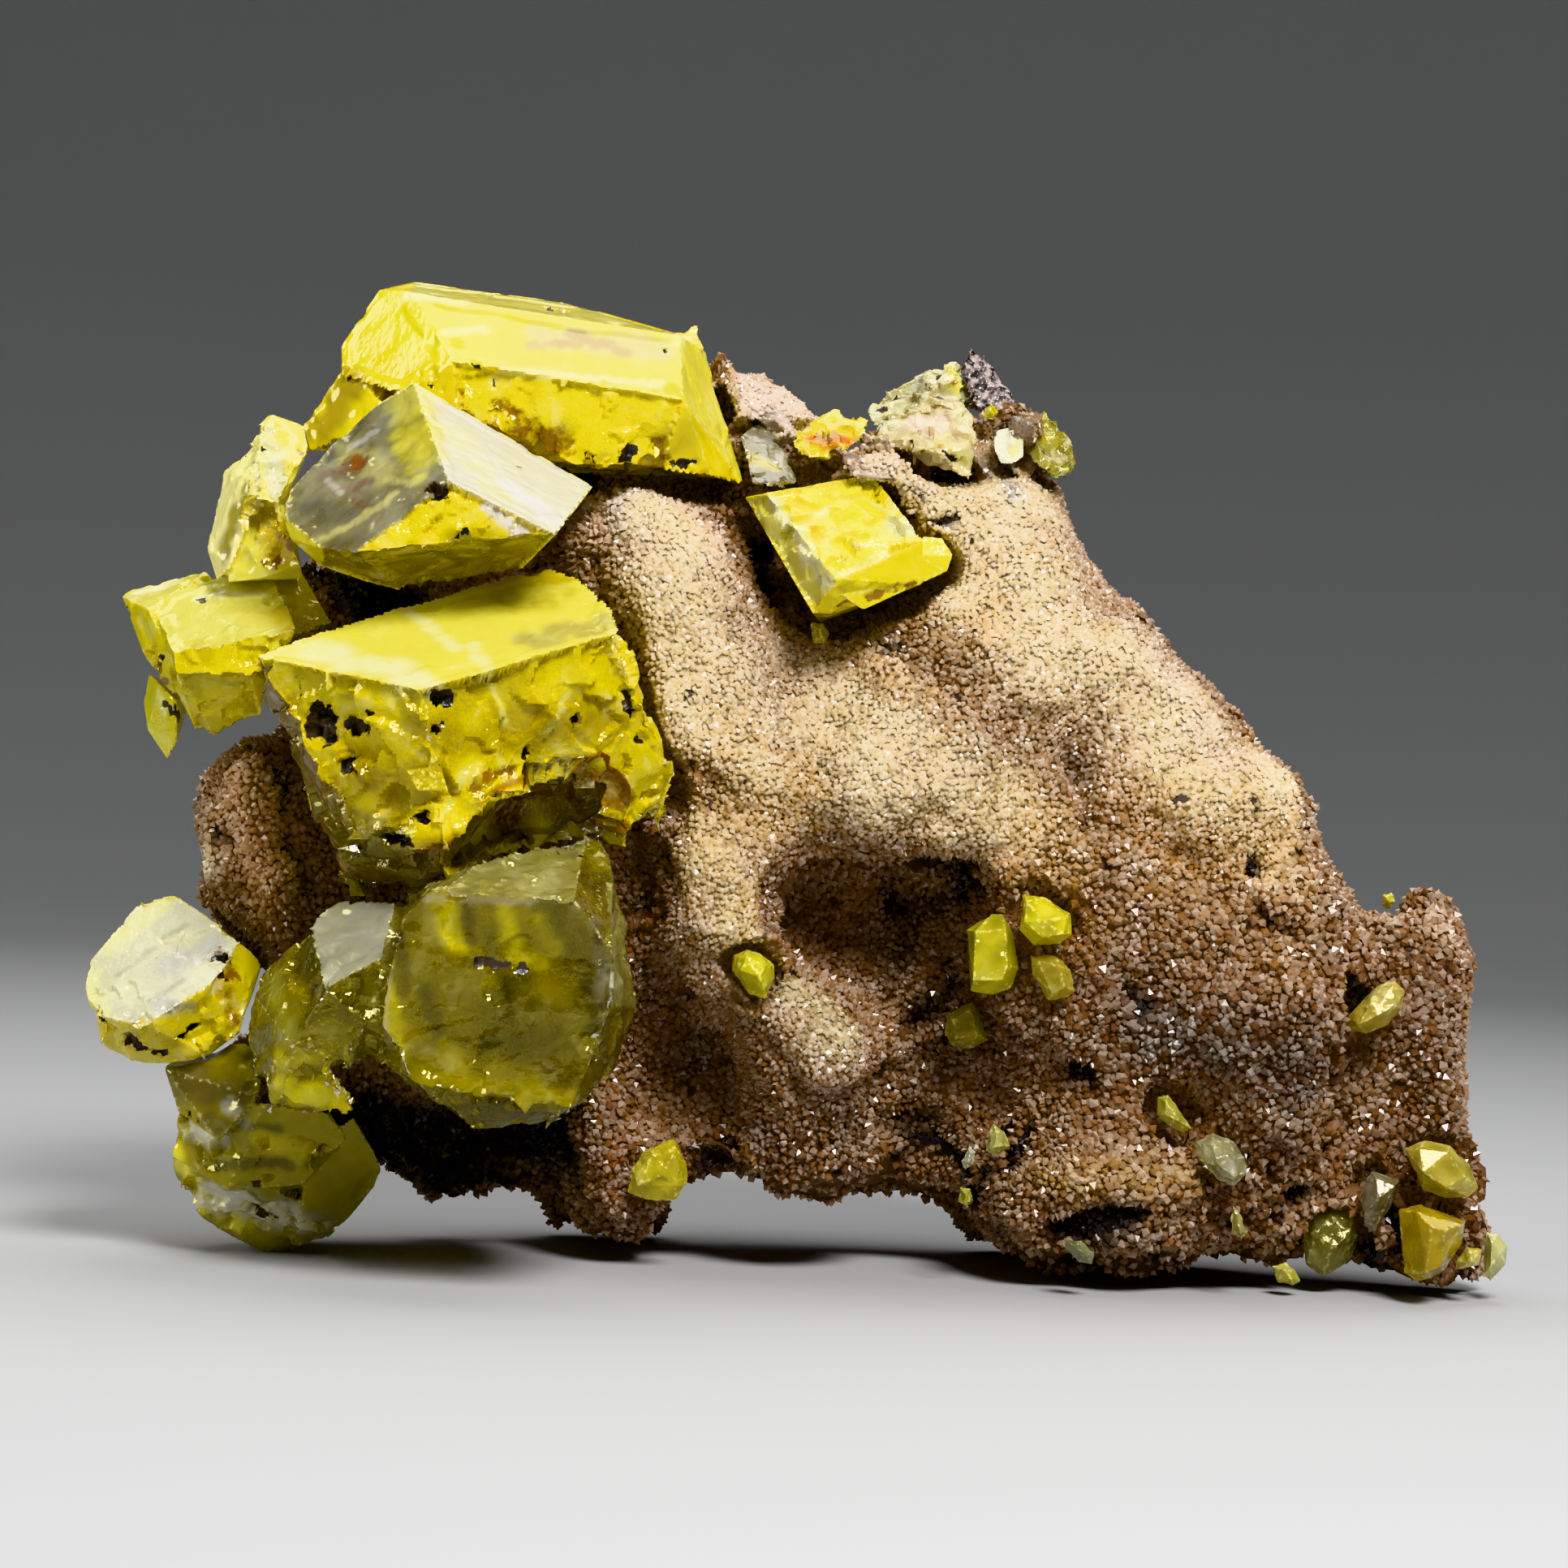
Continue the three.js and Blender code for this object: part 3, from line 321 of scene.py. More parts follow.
def strokes_on(tree, strokes, wobble=0.45):
    """Uneven rows of balls along strokes x, z to x, z with a radius, where sight lines meet a surface."""
    draw = np.random.default_rng(len(strokes))
    found = []
    for x0, z0, x1, z1, radius in strokes:
        steps = max(round(math.dist((x0, z0), (x1, z1)) / (0.5 * radius)), 1)
        for share in np.linspace(0, 1, steps + 1):
            dx, dz, swell = draw.uniform(-wobble, wobble, 3)
            x = x0 + (x1 - x0) * share + dx * radius
            z = z0 + (z1 - z0) * share + dz * radius
            place = tree.ray_cast(EYE, sight(x, z))[0]
            if place is not None:
                found.append((*(place / MM), radius * (1 + swell)))
    return np.array(found).reshape(-1, 4)


def nearness(points, found):
    """1 at the middle of a stroke, 0 at its radius, and less beyond it."""
    best = np.full(len(points), -1.0)
    for x, y, z, radius in found:
        away = np.linalg.norm(points - (x, y, z), axis=1)
        best = np.maximum(best, 1 - away / radius)
    return best


def close_to(points, tree, strokes, gain=1, wobble=0.45):
    """How near each point is to the strokes, raised by the gain, from 0 to 1."""
    return np.clip(nearness(points, strokes_on(tree, strokes, wobble)) * gain, 0, 1)


def washed(points, tree, tones, washes):
    """The points' colours with soft strokes of others laid over them, in order."""
    for tone, strength, strokes in washes:
        share = close_to(points, tree, strokes, 1.4, 0.2)[:, None]
        share = share * share * (3 - 2 * share) * strength
        tones = tones + (np.array(tone) - tones) * share
    return tones


def ripple(points, length, seed):
    """Soft crossing waves from about -1 to 1, a length in mm apart."""
    draw = np.random.default_rng(seed)
    total = np.zeros(len(points))
    for _ in range(7):
        way = draw.normal(size=3)
        way *= draw.uniform(0.7, 1.5) * 2 * math.pi / (length * np.linalg.norm(way))
        total += np.sin(points @ way + draw.uniform(0, 2 * math.pi))
    return total / 3.2


def valleys(points, spacing, count, seed):
    """0 on the crowns of packed round mounds, rising to 1 in the valleys between them."""
    draw = np.random.default_rng(seed)
    crowns = KDTree(count)
    for index, centre in enumerate(points[draw.choice(len(points), count, replace=False)]):
        crowns.insert(centre, index)
    crowns.balance()
    away = np.array([crowns.find(point)[2] for point in points])
    return np.clip(away / spacing, 0, 1) ** 2


def scoops(points, share, count, radius, depth, seed):
    """How deep shell-shaped flakes are struck out where share is 1, in mm."""
    draw = np.random.default_rng(seed)
    inside = np.flatnonzero(share > 0.5)
    deep = np.zeros(len(points))
    if len(inside) == 0:
        return deep
    for centre in points[draw.choice(inside, count)]:
        size = draw.uniform(0.4, 1)
        away = np.linalg.norm(points - centre, axis=1) / (radius * size)
        deep = np.maximum(deep, depth * size * (1 - away * away))
    return deep * share


CREVICES = [
    (9, 35, 13, 34, 1.8), (13.5, 36, 12.8, 22, 2.4), (12.8, 22, 12, 10, 2.6), (26, 50.5, 27, 43, 1.0),
    (54.5, 40, 54.5, 12, 1.8), (-16, 40, -16, 32, 2.0), (-40, 8, -26, 8, 4.5), (-25, 12, -21, 14, 2.0),
    (44, 13, 45, 4, 1.4), (44, 36, 48, 34.8, 1.0), (-48, 44, -45, 34, 1.8),
]
POCKETS = [
    (7.6, 75, 9, 72.5, 0.9), (10.5, 71.2, 13.5, 73.5, 0.8), (11, 78.5, 13.5, 77.5, 1.0),
    (-4.5, 69, -1, 63, 1.2), (2.5, 62, 6, 62.6, 0.9), (5.5, 61, 7, 60.4, 0.7), (31.5, 6.5, 34.5, 7, 1.2),
    (13.5, 37.5, 16, 38, 1.3), (-46, 63, -36, 61.5, 3.0), (-23.5, 76, -20, 74, 1.0),
    (-22, 68, -23, 66, 1.4), (-3.8, 24.9, -3.2, 24.3, 0.5), (43, 37.5, 46, 35.5, 0.8),
    (50, 36, 51.5, 39, 0.7), (42.5, 41, 44, 42, 0.6), (-57, 40, -55, 38.5, 0.7),
    (26, 19.5, 29, 19.5, 0.9), (33, 28.5, 34, 26.5, 0.9), (56, 7, 60, 6, 1.6),
    (-51.5, 50.5, -48.5, 44, 0.8), (20, 15, 19, 11, 1.2), (-8.5, 14, -8, 11, 1.3), (47, 6, 50, 8, 1.5),
    (34, 6.5, 26, 4, 1.6), (16, 12, 15, 6, 2.0),
]
# Strokes of painted shade over the dark hollows, which are partly dark rock as well.
DARK_AND_SHADED_HOLLOWS = [
    (12, 35, 12.5, 8, 3.0), (10, 26, 12, 20, 2.6), (10, 14, 8, 7, 3.0), (-40, 9, -24, 8, 7.5),
    (5, 7, 14, 5, 3.0), (-17, 39, -15.5, 33, 1.6), (26, 4, 34, 5.5, 2.0), (-47, 63.5, -36, 61, 4.0),
    (9.5, 34.5, 12, 33, 2.0), (2, 34.5, 12, 33.5, 2.4), (8, 30, 12, 24, 2.4),
]
LOBES = [
    (-13, 67, -12, 53, 7.5), (-4.5, 61, -3, 50, 6), (19, 73, 24, 62, 10), (6, 53, 5, 46, 6.5),
    (16, 49, 20, 41, 6.5), (32, 61, 38, 49, 8.5), (-8.5, 38, -5.5, 32, 5.5), (0, 27, 5, 22, 5),
    (28, 12, 37, 11, 4.5), (46.5, 38.5, 47, 37, 4), (-57.5, 36, -57.5, 38, 3.5), (60, 36, 60, 20, 5.5),
    (-6, 84, 0, 82, 6), (6, 77, 7, 77, 4), (46, 27, 36, 23, 7), (25, 27, 20, 32, 5.5),
    (-11, 20, -8, 25, 5), (-16.5, 12, -16.5, 5, 5), (-53, 46, -50, 38, 5), (52, 47, 45, 48, 6),
    (34, 35, 27, 38, 5.5), (30, 4, 36, 3, 3.5), (0, 58, 4, 56, 6), (-18, 74, -12, 67, 6),
    (12, 76, 14, 66, 4),
]
SOFT_DRUSE = [
    (-14, 68, -11, 52, 8), (-5, 62, -4, 50, 7), (18, 74, 24, 60, 12), (6, 52, 14, 44, 9),
    (32, 60, 40, 48, 9), (-9, 39, -5, 32, 6), (-6, 84, 0, 82, 8), (4, 78, 9, 77, 5), (0, 27, 5, 23, 5),
    (-58, 36, -58, 38, 3.6), (2, 56, 6, 54, 6), (-2, 44, 2, 44, 6), (-18, 74, -12, 68, 7),
    (12, 76, 14, 66, 5),
]
DRUSE_WASHES = [
    (PINK, 0.9, [(-8, 85, 0, 82, 8), (-20, 72, -10, 70, 8), (4, 77, 9, 78, 5)]),
    (CREAM, 0.95, [(-15, 64, -8, 50, 8), (16, 73, 22, 60, 12), (30, 60, 36, 52, 8), (4, 54, 14, 45, 9)]),
    (BUFF, 0.9, [(-8, 44, 0, 45, 6), (20, 45, 24, 40, 6), (35, 46, 50, 45, 8)]),
    (TAN, 0.8, [(30, 44, 40, 38, 6), (46, 32, 50, 28, 6), (20, 38, 26, 34, 5), (4, 58, 12, 56, 3)]),
    (PINK, 0.5, [(40, 52, 28, 68, 3.0), (60, 40, 64, 36, 4)]),
    (BROWN, 0.9, [(30, 25, 48, 22, 9), (16, 22, 26, 24, 7), (58, 30, 62, 10, 7), (50, 14, 44, 6, 6)]),
    (BROWN, 0.8, [(-12, 26, -8, 18, 6), (-20, 12, -12, 4, 6), (-2, 12, 8, 16, 6)]),
    (hue(236, 196, 156), 0.8, [(-56, 46, -50, 36, 7)]),
    (BUFF, 0.9, [(-10, 39, -4, 33, 5.5)]),
    (PALE_DRUSE, 1.0, [(-58.5, 36, -58, 38, 4), (46, 50, 38, 62, 4), (-16, 73, -11, 70, 4)]),
    (hue(186, 164, 118), 0.9, [(0, 27, 5, 23, 4.5)]),
    (hue(196, 166, 112), 0.9, [(24, 11, 38, 12, 4.2), (30, 14, 34, 13, 3), (42, 41, 50, 39, 3.2)]),
    # The umber washes darken hollows, the crevice and the bottom edge: partly the rock's brown, partly
    # painted shade.
    (UMBER, 0.85, [(-10, 20, -4, 12, 4), (36, 24, 50, 20, 6), (8, 10, 12, 20, 5), (3, 34, 10, 30, 4.5)]),
    (UMBER, 0.7, [(50, 60, 52, 50, 2), (18, 8, 60, 2, 3), (-22, 2, -12, 1, 3), (-60, 46, -58, 50, 2)]),
    (RUST, 0.7, [
        (2, 63, 11, 66, 1.6), (-17.5, 9, -15.5, 12, 2), (-56, 40.5, -54, 39, 1), (-1, 78, 3, 78, 2)]),
    (RUST, 0.8, [(1.5, 62.5, 9, 66.5, 1.3), (3, 59, 10, 62, 1.5)]),
]
# Strokes for the painted light that brightens the shaded left bulge.
LEFT_BULGE_LIGHT = [(-57, 46, -50, 36, 7), (-57, 37, -52, 32, 5)]
GREY_CRUST = [
    (17, 84, 19, 82, 3), (15.5, 78, 18.5, 76.8, 2.2), (20, 80, 24, 78, 2.5), (11, 78, 14, 77, 1.6),
    (15, 81.5, 18, 80.5, 1.6),
]

matrix_bm = merged("matrix")
matrix_tree = BVHTree.FromBMesh(matrix_bm)
rock_mesh = bpy.data.meshes.new("matrix_rock")
matrix_bm.to_mesh(rock_mesh)
matrix_bm.free()
rock = remeshed("matrix_rock", rock_mesh, ROCK_VOXEL)
ends = numbers(rock.data.edges, "vertices", 2, np.int32)
points = evened(places(rock.data), ends, 6)
on_solid = np.array([matrix_tree.find_nearest(Vector(point) * MM)[0] for point in points]) / MM
points += 0.55 * (on_solid - points)
put_places(rock.data, points)
out = ways(rock.data)
BACK_FACING = 0.35
BARE_WAVE = 9
behind = np.clip((out[:, 1] - BACK_FACING) * 3, 0, 1)
cover = np.clip(1.15 - behind * (0.75 + 0.8 * ripple(points, BARE_WAVE, 4)), 0, 1)
cover = np.where(out[:, 2] < -0.85, 0.25, cover)
bare = np.clip(1.6 - 2.4 * cover, 0, 1)

# How deep each kind of hollow is cut into the rock, in mm.
WIDE_VALLEY, SMALL_VALLEY, LOBE_GAP, CREVICE, POCKET = 0.7, 0.5, 1.3, 3.0, 1.3
wide_valleys = valleys(points, spacing=6.5, count=330, seed=1)
small_valleys = valleys(points, spacing=2.6, count=2300, seed=2)
crevice = close_to(points, matrix_tree, CREVICES)
pocket = close_to(points, matrix_tree, POCKETS)
bare_rock = (bare > 0.3) * 1.0
broken_rock = scoops(points, bare_rock, count=260, radius=6, depth=1.6, seed=5)
broken_rock += scoops(points, bare_rock, count=900, radius=2, depth=0.5, seed=6)
lobed = close_to(points, matrix_tree, LOBES, 1.3, 0.2) ** 0.6
between_lobes = (1 - lobed) * np.clip(1 - 1.4 * (out[:, 1] + 0.3), 0, 1)
soft = close_to(points, matrix_tree, SOFT_DRUSE, 2.2) * (1 - 0.35 * between_lobes)
depth = GRAIN_HEIGHT * (1 - 0.85 * bare) * (1 - 0.45 * soft)
depth += WIDE_VALLEY * wide_valleys * (1 - 0.6 * soft) + SMALL_VALLEY * small_valleys * (1 - 0.4 * soft)
depth += LOBE_GAP * between_lobes + CREVICE * crevice + POCKET * pocket ** 0.6 + broken_rock
depth += 0.25 * (1 + ripple(points, 3.1, 7))
points = points - out * evened(depth, ends, 1)[:, None]
LOWEST = 0.12
points[:, 2] = np.maximum(points[:, 2], LOWEST)
put_places(rock.data, points)
rock.data.polygons.foreach_set("use_smooth", np.ones(len(rock.data.polygons), bool))

tones = washed(points, matrix_tree, np.tile(DEFAULT_DRUSE, (len(points), 1)), DRUSE_WASHES)
greyed = close_to(points, matrix_tree, GREY_CRUST, 2)[:, None]
tones = tones + (np.array(hue(120, 112, 102)) - tones) * greyed
# Painted shade: the druse between the lobes is darker.
tones *= (1 - between_lobes[:, None] * (0.12, 0.18, 0.26))
# Painted light: the left bulge, which the ledge crystal shades, is brightened.
bulge_light = close_to(points, matrix_tree, LEFT_BULGE_LIGHT, 2)[:, None]
tones *= np.array([0.68, 0.58, 0.45]) + soft[:, None] * (0.02, 0.13, 0.26) + bulge_light * (0.2, 0.26, 0.3)
# Painted shade, partly the rock's own dark: high in crevices, pockets, dark hollows and valleys, towards the
# bottom and on faces turned down.
low_down = np.clip(1 - points[:, 2] / 9, 0, 1)
shade = 1.0 * crevice ** 1.5 + 1.2 * np.clip(pocket * 1.6, 0, 1)
shade += np.minimum(close_to(points, matrix_tree, DARK_AND_SHADED_HOLLOWS, 1.6), 0.85)
shade += 0.35 * wide_valleys * small_valleys * (1 - soft) + 0.25 * low_down
shade += 0.3 * np.clip(-out[:, 2] - 0.2, 0, 1)
shade = np.clip(evened(shade, ends, 1), 0, 1)
across = points[:, 0]
coarse = (soft < 0.4) & (across < 26)
fine = soft > 0.4
zones = [across < -20, coarse & (across < 4), coarse, fine & (across < 8), fine]
zone = np.select(zones, range(5), 5)
for name, values in (("shade", shade), ("cover", cover), ("tone", tones), ("soft", soft), ("zone", zone)):
    paint(rock.data, name, values)

rock_material, flow = new_material("matrix_rock")
mm = in_mm(flow)
mottle = cloud(flow, mm, 0.35, 4)
grit = cloud(flow, mm, 2.5, 4)
colour = mottle.over(0.35, 0.65).tint(hue(70, 46, 30), hue(128, 100, 74))
between = flow.blend((1 - attribute(flow, "soft")) * 0.5 + 0.02, attribute(flow, "tone", 0), hue(96, 64, 40))
colour = (attribute(flow, "cover") * 0.9).tint(colour, between)
pits = cloud(flow, mm, PIT_SCALE, 3) - attribute(flow, "soft") * 0.04
colour = pits.over(PIT_LEVEL - 0.03, PIT_LEVEL + 0.02).tint(colour, hue(52, 34, 22))
# Painted shade: where the shade attribute is high the rock turns near black.
colour = attribute(flow, "shade").over(0.1, 0.7).tint(colour, hue(20, 15, 14))
bump = flow.node("ShaderNodeBump", None, {"Strength": 0.8, "Distance": 0.3 * MM, "Height": grit})
finish(flow, flow.node("ShaderNodeBsdfPrincipled", None, {
    "Base Color": colour, "Roughness": 0.6, "Normal": bump}))
rock.data.materials.clear()
rock.data.materials.append(rock_material)
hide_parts("matrix")
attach(rock, "root")

# Druse: a skin of small blunt crystals over the matrix, glassy beige to brown and black in the
# cracks, partly by painted shade. Each grain is a five-cornered double point of uneven corners, rooted in
# the rock.
GRAIN_WIDTH = 0.86
USUAL_SPACING = 0.43
CROWDING = 2.2
GRAIN_LOWEST = 0.02
CORNERS = [(0.5, 0.22), (0.42, 0.42), (0.52, 0.30), (0.41, 0.50), (0.48, 0.36)]
ROOT = -0.5
grain_bm = bmesh.new()
root = grain_bm.verts.new((0, 0, ROOT))
tip = grain_bm.verts.new((0.09, 0.05, 1.0))
ring = []
for corner, (reach, height) in enumerate(CORNERS):
    turn = 2 * math.pi * corner / len(CORNERS)
    ring.append(grain_bm.verts.new((reach * math.cos(turn), reach * math.sin(turn), height)))
for side, here in enumerate(ring):
    ahead = ring[(side + 1) % len(ring)]
    grain_bm.faces.new((here, ahead, tip))
    grain_bm.faces.new((ahead, here, root))
grain_mesh = bpy.data.meshes.new("grain")
grain_bm.to_mesh(grain_mesh)
grain_bm.free()
heights = np.array([v.co.z for v in grain_mesh.vertices])
paint(grain_mesh, "tip", np.clip(0.35 + 0.8 * heights, 0, 1))
grain = add_object("grain", grain_mesh)


def grain_material(name, glow):
    """Glassy grains from brown roots, darkened partly by painted shade, to pale tips, with more or less
    light passing through them.
    """
    material, flow = new_material(name)
    spread = attribute(flow, "grain_tone")
    tip_share = attribute(flow, "tip")
    tone = attribute(flow, "tone", 0)
    soft = attribute(flow, "soft")
    # The dark root tint is partly painted shade in the gaps between grains, less in the soft zones.
    root_tint = soft.tint((0.6, 0.46, 0.33), (1.0, 0.97, 0.92))
    dull = flow.blend(1.0, tone, root_tint, "MULTIPLY")
    bright = (spread * (0.2 + soft * 0.1)).tint(tone, hue(255, 246, 230))
    colour = (tip_share * 0.9 + spread * 0.45 - 0.1).over(0.05, 1.0).tint(dull, bright)
    # Painted shade: grains turn near black where the rock's shade attribute is high.
    shade_share = (attribute(flow, "shade") * 1.35 - spread * 0.25 - tip_share * 0.12).over(0.12, 0.95)
    colour = shade_share.tint(colour, CRUST_AND_SHADE_BLACK)
    finish(flow, flow.node("ShaderNodeBsdfPrincipled", {"subsurface_method": "BURLEY"}, {
        "Base Color": colour, "Roughness": 0.24, "IOR": 1.6, "Subsurface Weight": glow,
        "Subsurface Radius": (1.0, 0.9, 0.7), "Subsurface Scale": 0.6 * MM}))
    return material


brown_grains = grain_material("brown_druse", 0.0)
soft_grains = grain_material("soft_druse", 1.0)


def druse_tree():
    """Scatters grains over one zone of the rock, where it isn't bare or pitted, each a little askew."""
    tree = bpy.data.node_groups.new("druse", "GeometryNodeTree")
    tree.interface.new_socket("Geometry", in_out="OUTPUT", socket_type="NodeSocketGeometry")
    kinds = {"Rock": "Geometry", "Grain": "Object", "Clothing": "Material", "Zone": "Float",
             "Spacing": "Float", "Density": "Float", "Width": "Float", "Height": "Float", "Seed": "Int"}
    for name, kind in kinds.items():
        tree.interface.new_socket(name, in_out="INPUT", socket_type="NodeSocket" + kind)
    given = tree.nodes.new("NodeGroupInput")
    flow = Flow(tree)
    inputs = {socket.name: Flow(tree, socket) for socket in given.outputs if socket.name}

    def painted(name):
        return flow.node("GeometryNodeInputNamedAttribute", None, {"Name": name})

    def chance(low, high, seed):
        values = {2: low, 3: high, "Seed": inputs["Seed"] + seed}
        return flow.node("FunctionNodeRandomValue", {"data_type": "FLOAT"}, values, 1)

    def turn_by(rotation, angles, space):
        turn = flow.node("FunctionNodeEulerToRotation", None, {0: angles})
        return flow.node("FunctionNodeRotateRotation", {"rotation_space": space}, {0: rotation, 1: turn})

    inside = flow.maths("LESS_THAN", flow.maths("ABSOLUTE", painted("zone") - inputs["Zone"]), 0.501)
    soft = painted("soft")
    pits = flow.node("ShaderNodeTexNoise", None, {"Scale": PIT_SCALE / MM, "Detail": 3.0})
    kept = flow.maths("LESS_THAN", pits, soft * 0.04 + PIT_LEVEL)
    scatter = flow.node("GeometryNodeDistributePointsOnFaces", {"distribute_method": "POISSON"}, {
        "Mesh": inputs["Rock"], "Selection": inside, "Distance Min": inputs["Spacing"],
        "Density Max": inputs["Density"], "Density Factor": painted("cover") * kept, "Seed": inputs["Seed"]})
    upright = Flow(tree, scatter.socket.node.outputs["Rotation"])
    clump = flow.node("ShaderNodeTexNoise", {"normalize": False}, {"Scale": 260.0, "Detail": 2.0}, 1)
    swing = flow.node("ShaderNodeVectorMath", {"operation": "SCALE"}, {0: clump, "Scale": 0.45}, 0)
    lean = flow.node("FunctionNodeRandomValue", {"data_type": "FLOAT_VECTOR"}, {
        0: (-0.4, -0.4, 0.0), 1: (0.4, 0.4, 2 * math.pi), "Seed": inputs["Seed"] + 1})
    turned = turn_by(turn_by(upright, swing, "GLOBAL"), lean, "LOCAL")
    width = chance(0.75, 1.35, 2) * inputs["Width"]
    height = chance(0.65, 1.15, 3) * inputs["Height"] * (1 - soft * 0.5)
    scale = flow.node("ShaderNodeCombineXYZ", None, {0: width * chance(0.75, 1.2, 5), 1: width, 2: height})
    shape = flow.node("GeometryNodeObjectInfo", None, {"Object": inputs["Grain"]}, 4)
    grown = flow.node("GeometryNodeInstanceOnPoints", None, {
        "Points": scatter, "Instance": shape, "Rotation": turned, "Scale": scale})
    toned = flow.node("GeometryNodeStoreNamedAttribute", {"domain": "INSTANCE"}, {
        "Geometry": grown, "Name": "grain_tone", "Value": chance(0.0, 1.0, 4)})
    real = flow.node("GeometryNodeRealizeInstances", None, {"Geometry": toned})
    clad = flow.node("GeometryNodeSetMaterial", None, {"Geometry": real, "Material": inputs["Clothing"]})
    flow.node("NodeGroupOutput", None, {0: clad})
    return tree


def set_inputs(modifier, values):
    """Sets a tree's named inputs on a modifier, each by its socket's identifier."""
    for item in modifier.node_group.interface.items_tree:
        if item.in_out == "INPUT" and item.name in values:
            modifier[item.identifier] = values[item.name]


druse = druse_tree()
DRUSE_PIECES = [
    ("druse_left", 0.44, brown_grains), ("druse_middle", 0.43, brown_grains),
    ("druse_valley", 0.43, brown_grains), ("druse_lobes", 0.34, soft_grains),
    ("druse_slope", 0.34, soft_grains), ("druse_right", 0.5, brown_grains),
]
for zone, (name, spacing, clothing) in enumerate(DRUSE_PIECES):
    strip = add_object(name, rock.data)
    modifier = strip.modifiers.new("druse", "NODES")
    modifier.node_group = druse
    set_inputs(modifier, {
        "Grain": grain, "Clothing": clothing, "Zone": float(zone), "Seed": 10 * zone,
        "Spacing": spacing * MM, "Density": CROWDING / (spacing * MM) ** 2,
        "Width": GRAIN_WIDTH * spacing / USUAL_SPACING * MM, "Height": GRAIN_HEIGHT * 1.1 * MM})
    mesh = evaluated_mesh(strip)
    strip.modifiers.clear()
    strip.data = mesh
    points = places(mesh)
    points[:, 2] = np.maximum(points[:, 2], GRAIN_LOWEST)
    put_places(mesh, points)
    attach(strip, "root")
bpy.data.objects.remove(grain)

# Great crystal: the largest one, a blunt wedge with a pale top, milky and partly a painted sheen,
# struck and flaked all over its bright front, with black holes in it, a smoky band down its left side
# and a brown hollow below, its brown partly painted shade. It grew as one body on the rock.
CREASE_DEGREES = 14
FLAT_DEGREES = 0.6
SHARP_DEGREES = 32
CREASE_STEP = 0.12
SLOTS = {row["node"]: row["material_slot"] for row in frame["record"]["subparts"]}
FINISHES = {}
CELL_MIX = np.array([[12.99, 39.35, 73.16], [78.23, 11.14, 52.24], [37.72, 83.16, 9.15]])


def cell_middles(points, size):
    """The middle of the small irregular cell that each point lies in."""
    home = np.floor(points / size)
    nearest = np.full(len(points), np.inf)
    middles = points.copy()
    for step in np.ndindex(3, 3, 3):
        cell = home + np.array(step) - 1
        middle = (cell + np.abs(np.modf(np.sin(cell @ CELL_MIX) * 4375.85)[0])) * size
        away = ((points - middle) ** 2).sum(axis=1)
        nearer = away < nearest
        nearest[nearer] = away[nearer]
        middles[nearer] = middle[nearer]
    return middles


